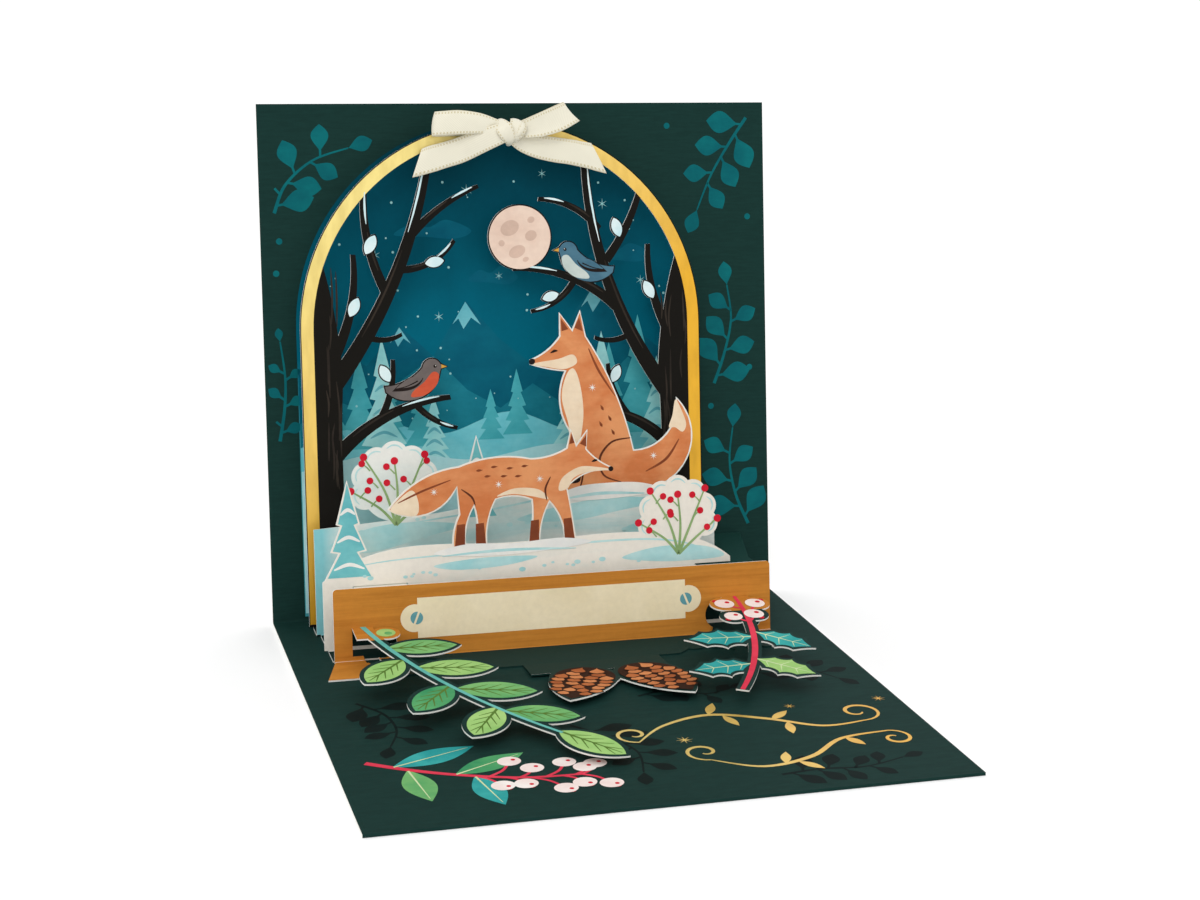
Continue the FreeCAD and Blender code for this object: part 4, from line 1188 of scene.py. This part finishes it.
def cone_print():
    """Scales on the cones of the flap, row by row towards the tip."""
    art = Art("cone_print", "band_card", lying(BAND_AT + TAB_DEPTH, 0.0, -FLAP_RISE))
    rows, widest = 8, 0.36
    for number, (u, v, length, width, angle) in enumerate(CONES):
        base = 12 * number
        at = (FLAP_MIDDLE + u, v)
        art.add(moved(inset(cone(length, width), 0.1), *at, angle), "cone_dark", base + 1)
        for row in range(rows):
            t = 0.03 + 0.82 * row / rows
            if t < widest:
                half = width / 2 * sin(pi * min(t + 0.14, 0.5))
            else:
                half = width / 2 * cos(pi / 2 * (t - widest) / (1 - widest)) ** 0.8
            size = 4.6 - 1.4 * t
            across = max(1, round(half * 2 / 3.1) - row % 2)
            for k in range(across):
                share = ((k + 0.5) / across * 2 - 1) if across > 1 else 0.0
                place = moved([(t * length, share * half * 0.94)], *at, angle)[0]
                lean = angle + share * 22
                layer = base + 2 + rows - row
                art.add(petal(*place, size + 0.35, size * 0.98, lean, 0.7, 8), "cone_dark", layer)
                tone = "cone_light" if (k + row) % 2 else "cone_scale"
                art.add(petal(*place, size - 0.15, size * 0.8, lean, 0.7, 8), tone, layer + 0.45)
    art.finish()


# Ribbon bow: each strand is a row of (u, v, lift, width, direction across it), from end to end
BOW_STRANDS = {
    "left_loop": [
        (-6.0, 123.4, 1.4, 3.2, 90), (-12.0, 124.6, 1.1, 5.0, 88), (-18.0, 125.0, 1.2, 6.0, 86),
        (-22.6, 124.9, 1.7, 6.1, 83), (-24.1, 124.9, 3.1, 6.1, 82), (-22.8, 125.0, 4.5, 6.1, 83),
        (-18.0, 125.2, 5.2, 6.0, 87), (-13.0, 124.9, 5.1, 5.2, 84), (-9.2, 124.2, 4.7, 4.0, 78),
        (-6.0, 123.4, 3.9, 3.2, 78),
    ],
    "right_loop": [
        (-4.0, 123.0, 1.4, 3.2, 95), (2.0, 124.2, 1.1, 5.4, 104), (7.0, 125.9, 1.2, 6.1, 116),
        (10.2, 127.3, 1.8, 6.3, 128), (11.5, 127.9, 3.0, 6.3, 131), (10.1, 127.2, 4.3, 6.3, 128),
        (6.7, 125.7, 5.0, 6.4, 112), (2.4, 124.3, 4.9, 5.8, 96), (-0.8, 123.5, 4.5, 4.4, 90),
        (-3.6, 123.1, 3.9, 3.4, 90),
    ],
    "left_tail": [
        (-28.2, 115.35, 1.2, 7.5, 70), (-25.6, 116.1, 1.6, 6.9, 86), (-22.0, 117.1, 2.1, 6.4, 104),
        (-17.3, 118.5, 2.9, 6.3, 107), (-12.2, 120.7, 4.6, 5.9, 112), (-8.2, 122.2, 5.7, 5.2, 114),
        (-5.2, 123.2, 5.2, 4.6, 110),
    ],
    "right_tail": [
        (-4.4, 121.8, 2.7, 3.2, 66), (-1.5, 120.3, 2.6, 4.6, 68), (2.2, 119.2, 2.4, 5.7, 78),
        (6.8, 118.4, 2.1, 6.3, 82), (11.6, 117.7, 1.8, 6.4, 86), (15.4, 116.9, 1.5, 7.0, 101),
        (19.0, 116.05, 1.2, 8.7, 117),
    ],
    "knot": [
        (-4.7, 120.2, 2.0, 1.8, 160), (-4.4, 120.9, 4.4, 2.8, 160), (-3.9, 122.2, 5.4, 4.0, 160),
        (-3.2, 123.8, 5.5, 4.6, 160), (-2.7, 125.0, 4.4, 4.4, 160), (-2.5, 125.5, 2.2, 3.8, 160),
    ],
    "knot_fold": [
        (-4.9, 119.9, 3.0, 1.8, 208), (-5.2, 120.6, 5.4, 2.8, 212), (-6.0, 122.0, 6.3, 3.9, 214),
        (-6.9, 123.5, 6.3, 4.2, 214), (-7.7, 124.7, 5.2, 3.6, 214), (-8.0, 125.3, 3.2, 3.0, 214),
    ],
    "knot_crease": [
        (-3.9, 120.9, 4.6, 0.8, 152), (-3.1, 122.2, 5.9, 1.3, 152), (-2.2, 123.7, 6.0, 1.5, 152),
        (-1.6, 124.8, 4.8, 1.2, 152),
    ],
}
CROWN = {"left_loop": 0.35, "right_loop": 0.35, "left_tail": 0.25, "right_tail": 0.25, "knot": 0.5,
         "knot_fold": 0.45, "knot_crease": 0.3}


def curve_through(rows, steps=7):
    """A smooth run of rows of numbers."""
    ends = [rows[0]] + rows + [rows[-1]]
    line = []
    for i in range(len(rows) - 1):
        for step in range(steps):
            t = step / steps
            line.append([0.5 * (2 * b + (c - a) * t + (2 * a - 5 * b + 4 * c - d) * t * t
                                + (3 * b - a - 3 * c + d) * t ** 3)
                         for a, b, c, d in zip(*ends[i:i + 4])])
    return line + [list(rows[-1])]


class Ribbon:
    """Strands of ribbon in one mesh, with (along, across) in metres as its texture coordinates."""

    columns = 10
    thickness = 0.25

    def __init__(self, place):
        self.place = place
        self.vertices, self.faces, self.coordinates = [], [], []

    def strand(self, rows, crown):
        ring = 2 * (self.columns + 1)
        start = len(self.vertices)
        travelled = 0.0
        rows = curve_through(rows)
        points = [self.place(u, v, lift) for u, v, lift, _, _ in rows]
        for i, (u, v, lift, width, angle) in enumerate(rows):
            travelled += (points[i] - points[max(i - 1, 0)]).length
            ahead = (points[min(i + 1, len(rows) - 1)] - points[max(i - 1, 0)]).normalized()
            c, s = cos(radians(angle)), sin(radians(angle))
            across = (self.place(u + c, v + s, lift) - points[i]).normalized()
            out = ahead.cross(across).normalized()
            for face in (1, -1):
                for column in range(self.columns + 1):
                    share = 2 * column / self.columns - 1
                    rise = crown * (1 - share * share) + face * self.thickness / 2
                    self.vertices.append((points[i] + across * (share * width / 2) + out * rise) * MM)
                    self.coordinates.append((travelled * MM, share * RIBBON_WIDTH / 2 * MM))
        under = self.columns + 1
        last = start + (len(rows) - 1) * ring
        for a in range(start, last, ring):
            b = a + ring
            for k in range(self.columns):
                self.faces.append((a + k, b + k, b + k + 1, a + k + 1))
                self.faces.append((a + under + k, a + under + k + 1, b + under + k + 1, b + under + k))
            self.faces.append((a, a + under, b + under, b))
            top = self.columns
            self.faces.append((a + top, b + top, b + under + top, a + under + top))
        for k in range(self.columns):
            self.faces.append((start + k, start + k + 1, start + under + k + 1, start + under + k))
            self.faces.append((last + k, last + under + k, last + under + k + 1, last + k + 1))

    def finish(self, name):
        piece = make_mesh(name, self.vertices, self.faces)
        mesh = piece.data
        layer = mesh.uv_layers.new(name="ribbon")
        for corner in mesh.loops:
            layer.data[corner.index].uv = self.coordinates[corner.vertex_index]
        for face in mesh.polygons:
            face.use_smooth = True
        mesh.materials.append(ribbon_material())
        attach(piece, "root")
        return piece


def ribbon_bow():
    """Two loops, two tails and the knot of a satin bow."""
    ribbon = Ribbon(standing(ARCH_AT))
    for name, rows in BOW_STRANDS.items():
        ribbon.strand(rows, CROWN[name])
    piece = ribbon.finish("satin_bow")
    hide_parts("ribbon_bow")


# The stage


def make_camera():
    az, el, roll = radians(CAMERA_AZIMUTH), radians(CAMERA_ELEVATION), radians(CAMERA_ROLL)
    back = Vector((sin(az) * cos(el), -cos(az) * cos(el), sin(el)))
    right = Vector((cos(az), sin(az), 0))
    up = back.cross(right)
    turned_right = right * cos(roll) + up * sin(roll)
    turned_up = back.cross(turned_right)
    aim = Vector(CAMERA_AIM) + Vector((0, FOLD_Y, CARD_TOP))
    data = bpy.data.cameras.new("camera")
    data.sensor_width = SENSOR
    data.lens = FOCAL_PIXELS * SENSOR / IMAGE_WIDTH
    data.shift_y = (AXIS_ROW - IMAGE_HEIGHT / 2) / IMAGE_WIDTH
    data.clip_start = 0.01
    camera = bpy.data.objects.new("camera", data)
    bpy.context.scene.collection.objects.link(camera)
    basis = Matrix((turned_right, turned_up, back)).transposed().to_4x4()
    camera.matrix_world = Matrix.Translation((aim + back * CAMERA_DISTANCE) * MM) @ basis
    bpy.context.scene.camera = camera


def make_stage():
    """A wide pale floor."""
    half = 6.0
    square = [(-half, -half, 0), (half, -half, 0), (half, half, 0), (-half, half, 0)]
    floor = make_mesh("floor", square, [(0, 1, 2, 3)])
    floor.data.materials.append(Shader("floor").finish(shade(252, 252, 252), 0.9, 0.0))


def make_light():
    world = bpy.data.worlds.new("world")
    bpy.context.scene.world = world
    world.use_nodes = True
    background = world.node_tree.nodes["Background"]
    background.inputs["Color"].default_value = (1.0, 1.0, 1.0, 1.0)
    background.inputs["Strength"].default_value = 1.0
    sun = bpy.data.lights.new("key", "SUN")
    sun.energy = 0.5
    sun.angle = radians(24)
    lamp = bpy.data.objects.new("key", sun)
    lamp.matrix_world = Vector((-0.35, -0.75, 0.85)).to_track_quat("Z", "Y").to_matrix().to_4x4()
    bpy.context.scene.collection.objects.link(lamp)
    bpy.context.scene.view_settings.view_transform = "Standard"


def dress(node, material):
    """Gives a node of the frame its material."""
    piece = bpy.data.objects[node]
    if not piece.material_slots:
        piece.data.materials.append(material)
    for held in piece.material_slots:
        held.material = material


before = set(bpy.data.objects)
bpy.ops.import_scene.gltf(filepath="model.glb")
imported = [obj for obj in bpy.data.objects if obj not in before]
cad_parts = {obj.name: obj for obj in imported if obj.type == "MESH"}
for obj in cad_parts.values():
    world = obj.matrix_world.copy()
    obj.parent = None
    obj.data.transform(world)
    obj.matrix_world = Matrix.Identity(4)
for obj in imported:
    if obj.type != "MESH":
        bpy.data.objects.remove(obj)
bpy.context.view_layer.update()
make_camera()
make_inks()
dress("cover", cover_material())
dress("arch_frame", sheet_material("arch_card", TREE_BLACK))
dress("rear_scene", sheet_material("rear_card", rear_print))
dress("front_scene", sheet_material("front_card", snow_print))
dress("front_band", band_material())
dress("left_strut", strut_material("left_strut_card", SNOW))
dress("right_strut", strut_material("right_strut_card", shade(26, 58, 53)))
panel_print()
base_print()
arch_print()
rear_art()
front_art()
label_print()
left_sprig_print()
right_sprig_print()
cone_print()
ribbon_bow()
make_stage()
make_light()


def corners(box):
    return [[float(c) for c in corner] for corner in box]
